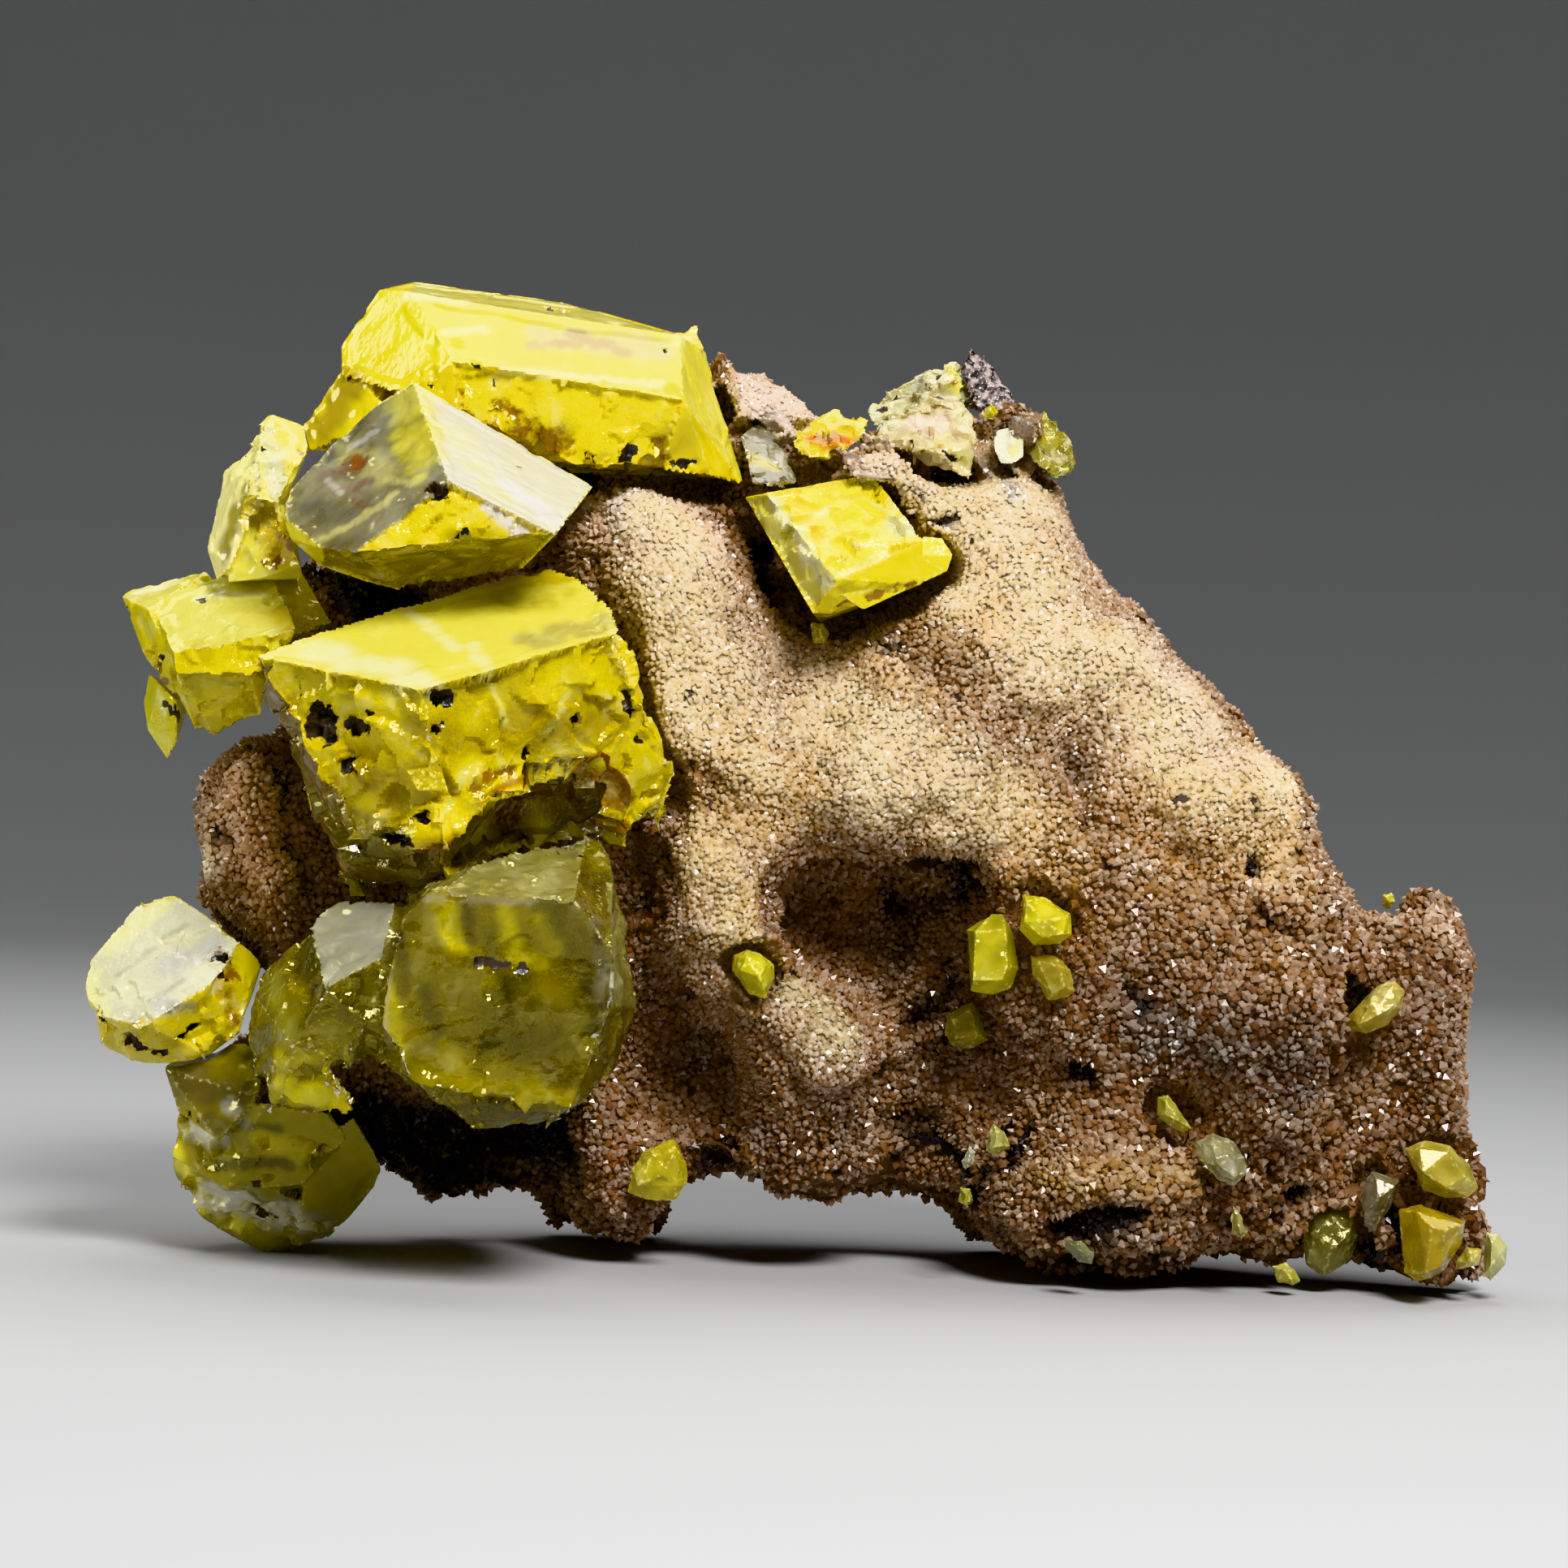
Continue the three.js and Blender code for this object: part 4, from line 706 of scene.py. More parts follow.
class Crystal:
    """A fine copy of a crystal's solid, which its section breaks, marks and colours."""

    def __init__(self, name, node, voxel, tone, broken=0.0, clear=0.12, frost=0.0):
        coarse = merged(node)
        flat = math.radians(FLAT_DEGREES)
        bmesh.ops.dissolve_limit(coarse, angle_limit=flat, verts=coarse.verts, edges=coarse.edges)
        coarse.normal_update()
        self.node = node
        self.tree = BVHTree.FromBMesh(coarse)
        creases = []
        for edge in coarse.edges:
            if edge.calc_face_angle(0) > math.radians(CREASE_DEGREES):
                a, b = (v.co for v in edge.verts)
                steps = max(int((b - a).length / (CREASE_STEP * MM)), 1)
                creases += [a.lerp(b, i / steps) for i in range(steps + 1)]
        near_crease = KDTree(len(creases))
        for index, place in enumerate(creases):
            near_crease.insert(place, index)
        near_crease.balance()
        mesh = bpy.data.meshes.new(name)
        coarse.to_mesh(mesh)
        coarse.free()
        self.low, self.high = places(mesh).min(axis=0), places(mesh).max(axis=0)
        self.object = remeshed(name, mesh, voxel)
        self.mesh = self.object.data
        count = len(self.mesh.vertices)
        self.facing = np.zeros((count, 3))
        self.rim = np.zeros(count)
        for vertex in self.mesh.vertices:
            on_face, way, _, _ = self.tree.find_nearest(vertex.co)
            on_crease, _, away = near_crease.find(vertex.co)
            self.facing[vertex.index] = way
            self.rim[vertex.index] = away / MM
            vertex.co = on_crease if away < 0.55 * voxel * MM else on_face
        self.mesh.update()
        self.points = places(self.mesh)
        self.tones = np.tile(tone, (count, 1)).astype(float)
        self.broken = np.full(count, float(broken))
        self.frost = np.full(count, frost)
        self.clear = np.full(count, clear)
        self.deep = np.zeros(count)
        self.marks = {"dark": np.full(count, -1.0), "rust": np.full(count, -1.0)}

    def side(self, way, tone=None, broken=None, frost=None, clear=None, spread=0.35):
        """Colours, breaks or frosts the faces that point about one way."""
        way = np.array(way) / np.linalg.norm(way)
        share = self.facing @ way > math.cos(spread)
        kinds = (self.tones, self.broken, self.frost, self.clear)
        for kept, value in zip(kinds, (tone, broken, frost, clear)):
            if value is not None:
                kept[share] = value

    def near(self, strokes, gain):
        """How near each point is to the strokes, from 0 to 1."""
        return close_to(self.points, self.tree, strokes, gain)

    def wash(self, *washes):
        """Lays strokes of colour over the crystal, in order."""
        self.tones = washed(self.points, self.tree, self.tones, washes)

    def frosted(self, amount, strokes):
        """Frosts the faces along strokes by an amount from 0 to 1."""
        self.frost = self.frost + (amount - self.frost) * self.near(strokes, 1.8)

    def cleared(self, amount, strokes):
        """Makes the crystal clear along strokes by an amount from 0 to 1."""
        self.clear = self.clear + (amount - self.clear) * self.near(strokes, 1.8)

    def shatter(self, strokes):
        """Broken surface along strokes."""
        self.broken = np.maximum(self.broken, self.near(strokes, 2.5))

    def strike(self, count, radius, depth, seed):
        """Strikes shell-shaped flakes out of the broken faces."""
        self.deep += scoops(self.points, self.broken, count, radius, depth, seed)

    def bent(self, amount, length, seed):
        """The points, each moved a little by soft waves."""
        waves = [ripple(self.points, length, seed + k) for k in (1, 2, 3)]
        return self.points + amount * np.column_stack(waves)

    def facets(self, length, rise, seed):
        """Breaks the broken faces in crossing rows of tilted steps."""
        rows = [ripple(self.bent(0.4, 4, seed), length, seed + k) * 1.2 for k in (4, 5)]
        tilted = [row - np.floor(row) for row in rows]
        self.deep += rise * np.maximum(tilted[0], 0.9 * tilted[1]) * self.broken

    def shards(self, size, tilt, seed, varied=0.2):
        """Splits the broken faces into tilted facets, each of its own shade and clearness."""
        draw = np.random.default_rng(seed)
        low, high = self.points.min(axis=0) - 1, self.points.max(axis=0) + 1
        count = int(np.prod(high - low) / size ** 3)
        middles = draw.uniform(low, high, (count, 3))
        leans = draw.uniform(-tilt, tilt, (count, 3))
        shades = draw.uniform(-1, 1, count)
        cells = KDTree(count)
        for index, middle in enumerate(middles):
            cells.insert(middle, index)
        cells.balance()
        home = np.array([cells.find(point)[1] for point in self.bent(0.5, 3, seed)])
        slant = ((self.points - middles[home]) * leans[home]).sum(axis=1)
        self.deep += np.maximum(0.35 * size * tilt + slant, 0) * self.broken
        shade = shades[home] * self.broken
        self.tones *= 1 + varied * shade[:, None]
        self.clear *= 1 + 0.6 * shade

    def chip(self, count, radius, depth, seed):
        """Small chips along the creases."""
        near_rim = np.clip(1.6 - self.rim / radius, 0, 1)
        self.deep += scoops(self.points, near_rim, count, radius, depth, seed)

    def growth(self, width, rise, seed):
        """A low frame left by the last growth, along the smooth faces' creases."""
        edge = self.rim + 0.35 * width * ripple(self.points, 7, seed)
        self.deep += rise * np.clip((edge - width) / 0.35, 0, 1) * (1 - self.broken)

    def notch(self, strokes, depth):
        """Bites out of an edge, struck upward."""
        self.points[:, 2] += depth * self.near(strokes, 1.6)

    def mark(self, kind, strokes, depth=0.0):
        """Dark or rusty marks with crumbly edges, sunk to a depth."""
        crumbs = 0.75 * cell_middles(self.points, 0.9) + 0.25 * self.points
        near = nearness(crumbs, strokes_on(self.tree, strokes, 0.55))
        self.marks[kind] = np.maximum(self.marks[kind], near)
        self.deep += depth * np.clip((near - 0.1) * 2.5, 0, 1)

    def done(self):
        """Sets the worn surface within its solid's box, keeps what is painted and rides the piece."""
        self.mesh.polygons.foreach_set("use_smooth", np.ones(len(self.mesh.polygons), bool))
        worn = self.points - ways(self.mesh) * self.deep[:, None]
        put_places(self.mesh, np.clip(worn, self.low, self.high))
        self.mesh.set_sharp_from_angle(angle=math.radians(SHARP_DEGREES))
        painted = self.marks | {"broken": self.broken, "frost": self.frost, "clear": self.clear,
                                "rim": self.rim, "tone": self.tones}
        for name, values in painted.items():
            paint(self.mesh, name, values)
        self.mesh.materials.clear()
        self.mesh.materials.append(FINISHES[SLOTS[self.node]])
        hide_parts(self.node)
        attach(self.object, "root")


def sulfur(slot, absorbed, density, rough, glow=0.4, blue=0.1):
    """Sulfur for a slot: milky with clear yellow showing through, and black and rusty stains."""
    FINISHES[slot], flow = new_material("sulfur_" + slot)
    mm = in_mm(flow)
    sway = cloud(flow, mm, 0.3, 1, 1)
    values = {0: sway, 1: (5, 5, 5), 2: mm}
    bent = flow.node("ShaderNodeVectorMath", {"operation": "MULTIPLY_ADD"}, values)
    wisps = cloud(flow, bent, 0.3, 2)
    fine = cloud(flow, mm, 1.9, 2)
    tone = attribute(flow, "tone", 0)
    broken = attribute(flow, "broken")
    frost = attribute(flow, "frost")
    edge = (fine - 0.5) * 0.5
    dark = (attribute(flow, "dark") + edge).over(0.08, 0.14)
    rust = (attribute(flow, "rust") + edge * 2).over(0.0, 0.6)
    deep = flow.blend(1.0, tone, (0.72, 0.66, 0.2 + blue), "MULTIPLY")
    light = flow.blend(0.5, tone, (1.0, 0.98, 0.45 + blue))
    colour = (wisps.over(0.5, 0.34) * (broken * 0.4 + 0.06)).tint(tone, deep)
    colour = (wisps.over(0.54, 0.68) * (0.1 + broken * 0.3)).tint(colour, light)
    bruised = (0.2 - attribute(flow, "rim") + (fine - 0.5) * 1.6).over(0.0, 0.3)
    colour = (bruised * 0.4).tint(colour, flow.blend(0.5, tone, (0.8, 0.78, 0.44)))
    colour = (frost * (0.4 + wisps * 0.8)).tint(colour, hue(200, 198, 194))
    colour = (rust * 0.9).tint(colour, hue(112, 56, 10))
    bump = flow.node("ShaderNodeBump", None, {
        "Strength": 1.0, "Distance": MM, "Height": fine * (broken * 0.12 + 0.02)})
    shared = {"Roughness": rough + broken * 0.04 + frost * 0.25, "IOR": 1.98, "Normal": bump,
              "Specular Tint": (1.0, 0.93, 0.3 + blue, 1)}
    milky = flow.node("ShaderNodeBsdfPrincipled", {"subsurface_method": "BURLEY"}, {
        "Base Color": colour, "Subsurface Weight": 1.0, "Subsurface Radius": (1.0, 0.85, blue),
        "Subsurface Scale": glow * MM, **shared})
    glassy = flow.node("ShaderNodeBsdfPrincipled", None, {
        "Base Color": (1, 0.98, 0.85, 1), "Transmission Weight": 1.0, **shared})
    black = flow.node("ShaderNodeBsdfPrincipled", None, {
        "Base Color": wisps.over(0.45, 0.6).tint(hue(18, 14, 12), hue(66, 56, 46)), "Roughness": 0.35,
        "Normal": bump})
    clearness = attribute(flow, "clear") * (1.5 - wisps)
    share = flow.maths("MAXIMUM", 1 - clearness, flow.maths("MAXIMUM", rust, bruised))
    shader = flow.node("ShaderNodeMixShader", None, {0: share, 1: glassy, 2: milky})
    shader = flow.node("ShaderNodeMixShader", None, {0: dark, 1: shader, 2: black})
    volume = flow.node("ShaderNodeVolumeAbsorption", None, {"Color": (*absorbed, 1), "Density": density})
    finish(flow, shader, volume)


LEMON = hue(222, 200, 3)
VIVID = hue(238, 216, 0)
PALE_TOP = hue(228, 216, 84)
MILK_WHITE = hue(240, 236, 176)
OLIVE = hue(134, 118, 3)
SMOKY = hue(106, 82, 48)
sulfur("lemon", (0.97, 0.94, 0.08), 330, 0.1)

great = Crystal("great_sulfur", "great_crystal", 0.32, LEMON, broken=1, clear=0.36)
# The pale top faces are partly a painted sheen.
great.side((-0.06, -0.54, 0.84), PALE_TOP, broken=0.12, clear=0.12)
great.side((-0.4, 0.2, 0.9), PALE_TOP, broken=0.3, clear=0.12)
great.side((-0.80, -0.39, -0.45), SMOKY, broken=0.8, clear=0.3, spread=0.25)
# The dark brown of the faces turned down is partly painted shade.
great.side((0, 0, -1), hue(78, 60, 22), clear=0.3, spread=0.8)
great.wash(
    (MILK_WHITE, 0.9, [(-46, 57.5, -38, 55.2, 2.6), (-37, 55, -35, 54, 1.6)]),
    (hue(170, 160, 88), 0.9, [(-27, 59, -19, 61.3, 2.4)]),
    (hue(206, 184, 16), 0.9, [(-31, 64.5, -21, 66, 1.6)]),
    (hue(236, 230, 156), 0.9, [(-38.5, 62, -33.5, 58, 1.0), (-32, 58.5, -30, 56, 1.0)]),
    (hue(182, 158, 4), 0.8, [(-27, 51, -19, 52, 3.0), (-44, 46.5, -38, 44, 3.4), (-38, 50, -30, 49, 2.0)]),
    (VIVID, 0.9, [
        (-48, 53.5, -40, 52, 2.0), (-31, 47, -34, 40, 1.6), (-15, 44, -16, 41, 1.8),
        (-24, 55, -18, 57, 1.6)]),
    (hue(236, 228, 120), 0.8, [
        (-29, 54.5, -27.5, 51, 0.5), (-22, 54, -24, 50.5, 0.5), (-31.5, 46, -34.5, 40.5, 0.5)]),
    # The brown and amber washes in the hollow below are partly painted shade.
    (hue(96, 52, 14), 1.0, [
        (-34, 38, -26, 43.4, 3.2), (-26, 43.4, -19, 45, 3.0), (-20.5, 43, -19.5, 41, 1.4)]),
    (hue(150, 92, 14), 0.8, [(-30, 43.6, -24, 46.2, 0.6), (-27, 43, -21, 44.6, 0.4)]),
    (hue(120, 108, 52), 0.9, [(-49, 46, -43, 37, 2.6), (-44, 41, -38, 39, 2.0)]),
)
great.cleared(0.4, [(-48, 45, -43, 38, 1.6), (-41, 37.5, -37, 38.5, 1.2), (-28, 63, -22, 65, 2.0)])
great.cleared(0.05, [(-34, 38, -26, 43.4, 3.4), (-26, 43.4, -19, 45, 3.2)])
great.facets(24, 0.8, 21)
great.shards(5.5, 0.3, 22)
great.strike(26, 7.0, 0.9, 11)
great.growth(1.0, 0.12, 3)
great.chip(60, 1.6, 0.5, 13)
great.mark("dark", [
    (-49, 54, -48.5, 51.6, 0.3), (-47.3, 51.2, -46.8, 49.4, 1.0), (-48, 50.4, -46, 48.6, 0.5),
    (-44.2, 50, -42.2, 49.7, 0.6), (-42.2, 51.6, -40.4, 50.4, 0.3), (-44, 46.2, -43.2, 45.9, 0.5),
    (-34.7, 53, -33.1, 53.5, 0.8), (-34.5, 50.4, -33.9, 51, 0.36), (-37, 41.6, -36.5, 41.4, 0.45),
    (-39.4, 39.3, -37, 38.9, 0.6), (-16.2, 54.4, -15.9, 52, 0.34), (-15.5, 51, -14.9, 49.6, 0.26),
    (-21.2, 52, -21.6, 50.6, 0.26), (-25.3, 48, -25.1, 47.4, 0.3), (-14, 47.4, -13.8, 47, 0.3),
], 0.9)
great.mark("rust", [
    (-19.4, 47, -17.8, 43.5, 1.2), (-31, 45, -27, 46.5, 0.8), (-18.5, 41.5, -18, 41, 0.8),
], 0.3)
great.done()

# Gable crystal: a roof-shaped crystal above the great one, with a grey frosted face to each side
# of its yellow ridge, a bright broken front under the ridge's end, and an olive underside.
gable = Crystal("gable_sulfur", "gable_crystal", 0.3, hue(214, 200, 60))
gable.side((-0.47, -0.61, 0.64), hue(142, 136, 96), broken=0.15, frost=0.15, clear=0.5)
gable.side((0.39, -0.43, 0.81), hue(192, 188, 166), broken=0.08, frost=0.5, clear=0.2)
gable.side((0.09, -0.99, 0.05), VIVID, broken=1.0, clear=0.2, spread=0.5)
gable.side((0.16, -0.26, -0.95), OLIVE, broken=0.5, clear=0.4, spread=0.6)
gable.wash(
    (hue(214, 208, 120), 0.7, [(-46, 78, -41, 74, 2.4), (-35, 79, -30, 73, 2.6)]),
    (hue(230, 220, 80), 0.95, [(-38.5, 82, -37, 76, 3.2), (-40, 78, -38, 74, 1.4)]),
    (hue(98, 100, 88), 0.8, [
        (-47.5, 75, -44, 79, 1.6), (-48, 71, -45, 70.5, 2.0), (-43.5, 77, -41, 79.5, 0.9)]),
    (hue(128, 92, 78), 0.85, [
        (-46.5, 74, -43, 75.6, 1.3), (-45.5, 72.6, -42.5, 73.4, 0.9), (-44, 71.6, -42.5, 71.2, 0.7)]),
    (hue(226, 216, 130), 0.9, [
        (-46.5, 68, -42.5, 70.6, 0.8), (-42.5, 70.5, -40, 72.4, 0.8), (-41, 74, -38.4, 73.5, 0.6)]),
    (hue(226, 222, 204), 0.6, [(-46.4, 73.6, -45, 72.2, 0.5), (-44.6, 76.6, -42, 78.4, 0.6)]),
    (hue(206, 202, 212), 0.9, [(-29, 74, -24.6, 70.6, 1.6), (-31, 71.6, -27.4, 69, 0.9)]),
    (hue(150, 136, 14), 0.8, [(-34, 68, -27, 68, 2.2)]),
    (hue(92, 80, 8), 0.8, [(-45, 66.5, -37, 65, 2.2), (-38, 67, -33, 66, 1.2)]),
)
gable.frosted(0.0, [(-39, 82, -37.5, 76, 2.8)])
gable.facets(13, 0.5, 31)
gable.shards(3.5, 0.25, 34)
gable.growth(0.8, 0.12, 5)
gable.chip(40, 1.2, 0.35, 33)
gable.mark("dark", [
    (-36.4, 73.6, -35.7, 73, 0.75), (-33.1, 68.6, -33, 67.6, 0.45), (-31.3, 67.6, -31, 67, 0.35),
], 1.0)
gable.mark("dark", [(-28.9, 76.8, -28.1, 75.8, 0.4)], 0.15)
gable.mark("rust", [(-45, 75, -43, 75.5, 1.0)])
gable.done()

# Crown crystal: the long block along the top, milky lemon at its left end, with a bright grey
# sheen and a brown veil in its upper face, and a glowing broken front with a ragged lower edge.
crown = Crystal("crown_sulfur", "crown_crystal", 0.32, LEMON)
crown.side((0.07, -0.73, 0.68), hue(210, 198, 54), broken=0.06, frost=0.06, spread=0.2)
crown.side((0.10, -0.33, 0.94), hue(188, 176, 66), broken=0.1, frost=0.08, spread=0.2)
crown.side((-0.59, -0.77, 0.24), hue(230, 212, 20), broken=0.06, spread=0.3)
crown.side((-0.03, -0.99, -0.12), VIVID, broken=1.0, clear=0.25, spread=0.4)
crown.side((0.88, -0.31, 0.37), hue(218, 204, 70), broken=0.3, spread=0.4)
crown.side((0, 0, -1), hue(168, 140, 12), broken=1.0, spread=0.9)
crown.wash(
    (hue(232, 220, 50), 0.9, [(-41, 89, -33, 86, 4.0)]),
    (MILK_WHITE, 0.7, [(-39.5, 91.4, -34, 91, 0.9), (-30, 84.6, -15, 84, 0.7), (-36, 88, -32, 88.5, 0.8)]),
    # Painted sheen: a pale grey wash over the upper face, around the brown veil.
    (hue(196, 184, 130), 0.85, [(-27, 88, -15.5, 87.5, 2.2)]),
    (hue(150, 122, 90), 0.8, [(-27.5, 87.2, -23, 87.4, 0.9), (-24, 88.3, -18.6, 87, 1.1)]),
    (hue(170, 148, 46), 0.9, [(-48.5, 78, -44, 82, 3.0)]),
    (hue(190, 170, 20), 0.7, [(-28, 78.5, -24, 79, 2.0), (-14, 78, -11, 80, 2.0)]),
    (hue(244, 238, 150), 0.8, [(-13.5, 88, -11, 90, 1.0), (-9.7, 86, -8, 80, 0.5)]),
)
crown.facets(18, 0.5, 41)
crown.shards(6, 0.12, 44, 0.08)
crown.strike(40, 2.5, 0.3, 42)
crown.notch([(-31, 79.6, -30, 79.6, 0.9), (-27.6, 77.4, -25.8, 76.2, 0.9), (-22, 75.6, -20.6, 75.6, 0.8),
             (-16, 75.8, -14.6, 76, 0.9), (-11, 74.6, -10, 74.6, 0.8)], 1.6)
crown.growth(0.9, 0.12, 6)
crown.chip(50, 1.3, 0.4, 43)
crown.mark("dark", [
    (-33.7, 86, -33.4, 85, 0.22), (-32.7, 85.2, -32.3, 84.8, 0.2), (-31.2, 83.6, -30.4, 82.2, 0.3),
    (-25.7, 83.1, -25.1, 83, 0.2), (-37.6, 83, -36.5, 82.5, 0.2), (-22, 76.8, -21.1, 76.2, 0.4),
    (-18.1, 76.3, -17.4, 77.5, 0.45), (-13.4, 76.3, -11.4, 76.6, 0.3), (-44.5, 87.3, -43.7, 86.3, 0.2),
    (-30.8, 91.7, -26, 91.4, 0.25), (-26.2, 90.7, -23.4, 90.4, 0.25), (-15.4, 87.4, -14.4, 87.2, 0.3),
], 0.5)
crown.mark("rust", [
    (-27.3, 79, -24.6, 77.6, 1.5), (-15.5, 78, -15, 76.6, 0.9), (-31, 81.6, -28.5, 80.2, 0.6),
], 0.4)
crown.done()

# Ledge and tail crystals: a block that juts out to the left with a pale streaked top and a lemon
# front in two steps, and a small lemon crystal hanging below its left end.
ledge = Crystal("ledge_sulfur", "ledge_crystal", 0.28, hue(222, 203, 10), clear=0.25)
ledge.side((-0.23, -0.56, 0.80), hue(222, 214, 96), broken=0.08, frost=0.06)
ledge.side((0, 0, -1), hue(190, 170, 20), broken=0.5, spread=0.9)
ledge.wash(
    (MILK_WHITE, 0.8, [(-58, 62, -52, 62.5, 0.8), (-64, 61.8, -60, 63.5, 1.0)]),
    (hue(206, 190, 40), 0.8, [(-60, 52.5, -53, 50.5, 3.2)]),
    (hue(196, 174, 10), 0.8, [(-50, 61, -47.5, 58, 1.8), (-52, 53, -51, 51, 1.0)]),
    (hue(230, 218, 100), 0.8, [(-63.5, 59, -62.5, 58.5, 1.4)]),
)
ledge.shatter([(-58, 57, -50, 57, 1.6), (-64, 57, -62, 54, 1.6), (-50, 62, -48, 59, 2)])
ledge.facets(12, 0.4, 51)
ledge.shards(4, 0.2, 54, 0.12)
ledge.growth(0.9, 0.12, 7)
ledge.chip(50, 1.2, 0.4, 53)
ledge.mark("dark", [
    (-62.2, 56.9, -61.3, 55.6, 0.4), (-65.2, 61.1, -64.9, 60.2, 0.35), (-59.2, 57.1, -58.8, 56.8, 0.35),
    (-52.4, 63.2, -51.6, 63, 0.25), (-58.3, 61.8, -57.4, 61.5, 0.35), (-53, 53, -52.4, 52.7, 0.25),
], 0.3)
ledge.mark("rust", [(-62, 55, -60.6, 52.6, 0.8), (-52.3, 65, -49.5, 65, 0.4)], 0.2)
ledge.done()

tail = Crystal("tail_sulfur", "tail_crystal", 0.24, hue(214, 204, 46), broken=0.5)
tail.strike(60, 1.8, 0.3, 55)
tail.wash((hue(236, 230, 140), 0.8, [(-61.5, 52.5, -60.8, 51, 0.7)]))
tail.mark("dark", [(-60.8, 51.6, -60.3, 50.2, 0.4), (-59.6, 51, -59.4, 50, 0.4)], 0.3)
tail.done()

# Shoulder cluster: blades grown together left of the gable, cream-yellow at the left rim, glassy
# and grey at the top, amber to the lower right, with an olive blade across the front.
sulfur("pale", (0.97, 0.95, 0.4), 160, 0.12, 0.4, 0.4)
shoulder = Crystal("shoulder_sulfur", "shoulder_cluster", 0.28, hue(226, 216, 90))
shoulder.side((-1, -0.2, 0.2), hue(240, 234, 150), broken=0.2, spread=0.7)
shoulder.wash(
    (hue(206, 204, 160), 0.9, [(-52.5, 78, -50.5, 72.5, 1.9)]),
    (hue(196, 168, 14), 0.95, [(-52.5, 69.5, -50, 66, 2.6)]),
    (hue(156, 144, 50), 0.9, [(-54.2, 72, -56, 66, 1.5)]),
    (hue(238, 232, 140), 0.9, [(-56, 74, -53, 78, 1.6)]),
)
shoulder.frosted(0.45, [(-51.4, 75, -51, 72.5, 1.1)])
shoulder.shatter([(-53, 78, -50, 72, 3.2), (-52, 69, -50, 66, 2.5)])
shoulder.facets(8, 0.4, 61)
shoulder.shards(2.4, 0.35, 64)
shoulder.chip(50, 1.1, 0.35, 63)
shoulder.mark("dark", [(-52.6, 76.6, -52.3, 76.2, 0.3), (-52.4, 75.3, -51.6, 75.1, 0.25)], 0.3)
shoulder.mark("rust", [
    (-53.2, 75.6, -53.4, 73.6, 0.35), (-50.6, 68.5, -48.6, 66, 0.6), (-52, 65.2, -50, 65.4, 0.3),
    (-51, 78, -50.8, 78, 0.3), (-49, 76, -48.6, 75.6, 0.5),
])
shoulder.done()

# Barrel crystal: the clear olive one in front, with its narrower neighbour and bright toe grown
# to it. Light gathers in it, the top faces are frosted pale, and its edges are ground and bruised.
sulfur("olive", (0.87, 0.84, 0.04), 260, 0.05, 1.2)
barrel = Crystal("barrel_sulfur", "barrel_crystal", 0.32, hue(132, 116, 3), broken=0.35, clear=0.7)
barrel.side((0.02, -0.47, 0.88), hue(146, 138, 58), broken=0.3, frost=0.15, clear=0.45, spread=0.3)
barrel.side((-0.26, -0.19, 0.95), hue(146, 138, 58), broken=0.3, frost=0.12, clear=0.45, spread=0.3)
barrel.side((0.97, 0.24, 0.06), hue(140, 132, 50), broken=0.4, frost=0.15, clear=0.5, spread=0.5)
barrel.side((-0.25, -0.58, 0.77), hue(150, 147, 116), broken=0.1, frost=0.3, clear=0.3, spread=0.25)
barrel.side((0, 1, 0), hue(110, 96, 3), broken=1.0, spread=1.0)
barrel.wash(
    # Painted light: bright yellow patches where light gathers inside the crystal.
    (hue(186, 172, 4), 0.9, [
        (-33.5, 34, -32.5, 30, 1.5), (-28, 33.5, -27, 29.6, 1.3), (-38.5, 25, -37.5, 19, 1.2)]),
    (hue(206, 190, 4), 0.9, [
        (-24, 32.5, -23, 30, 1.0), (-27, 28.6, -24, 28.4, 0.9), (-29, 26.4, -27.5, 24.5, 0.8)]),
    (hue(212, 198, 8), 0.95, [(-49, 15.5, -42.5, 14, 2.2), (-49, 18, -44, 18, 1.4)]),
    (hue(56, 42, 2), 0.85, [
        (-37.8, 31, -37, 25, 0.9), (-31.5, 33.5, -31, 30.5, 0.8), (-35, 25, -33, 20, 1.0)]),
    (hue(84, 70, 2), 0.7, [(-22, 32, -19, 26, 3.0), (-28, 22, -22, 19, 3.5)]),
    (hue(158, 142, 8), 0.8, [(-35.5, 17, -20, 15.4, 1.3), (-33, 20, -31, 18, 1.4)]),
    (hue(110, 80, 6), 0.8, [(-30, 13.6, -22, 13.6, 0.9)]),
    (hue(164, 158, 50), 0.8, [(-50, 27, -48, 20, 1.8)]),
)
barrel.cleared(0.1, [(-49, 15.5, -42.5, 14, 2.4)])
barrel.cleared(0.4, [(-33.5, 34, -32.5, 30, 2.4), (-28, 33.5, -23, 28, 2.6), (-38.5, 27, -37.5, 17, 1.8),
                     (-35.5, 17, -20, 15.4, 2.2), (-50, 27, -47, 18, 2.6)])
barrel.frosted(0.4, [
    (-36.5, 34.3, -20, 34.4, 0.5), (-18.8, 33.4, -17.6, 21, 0.8), (-38.2, 32, -38.8, 20, 0.3),
])
barrel.frosted(0.35, [(-45, 32, -40, 29, 2.4), (-17, 33, -16, 25, 0.8)])
barrel.shatter([(-18.5, 22, -17, 18, 1.2), (-34, 15, -20, 14.3, 1.0), (-47, 18, -42, 15, 1.8)])
barrel.facets(9, 0.6, 71)
barrel.shards(6, 0.25, 75, 0.3)
barrel.growth(1.0, 0.15, 9)
barrel.chip(110, 1.6, 0.45, 73)
barrel.deep += 0.2 * (1 + ripple(barrel.points, 9, 74)) * np.clip(barrel.rim / 3, 0, 1)
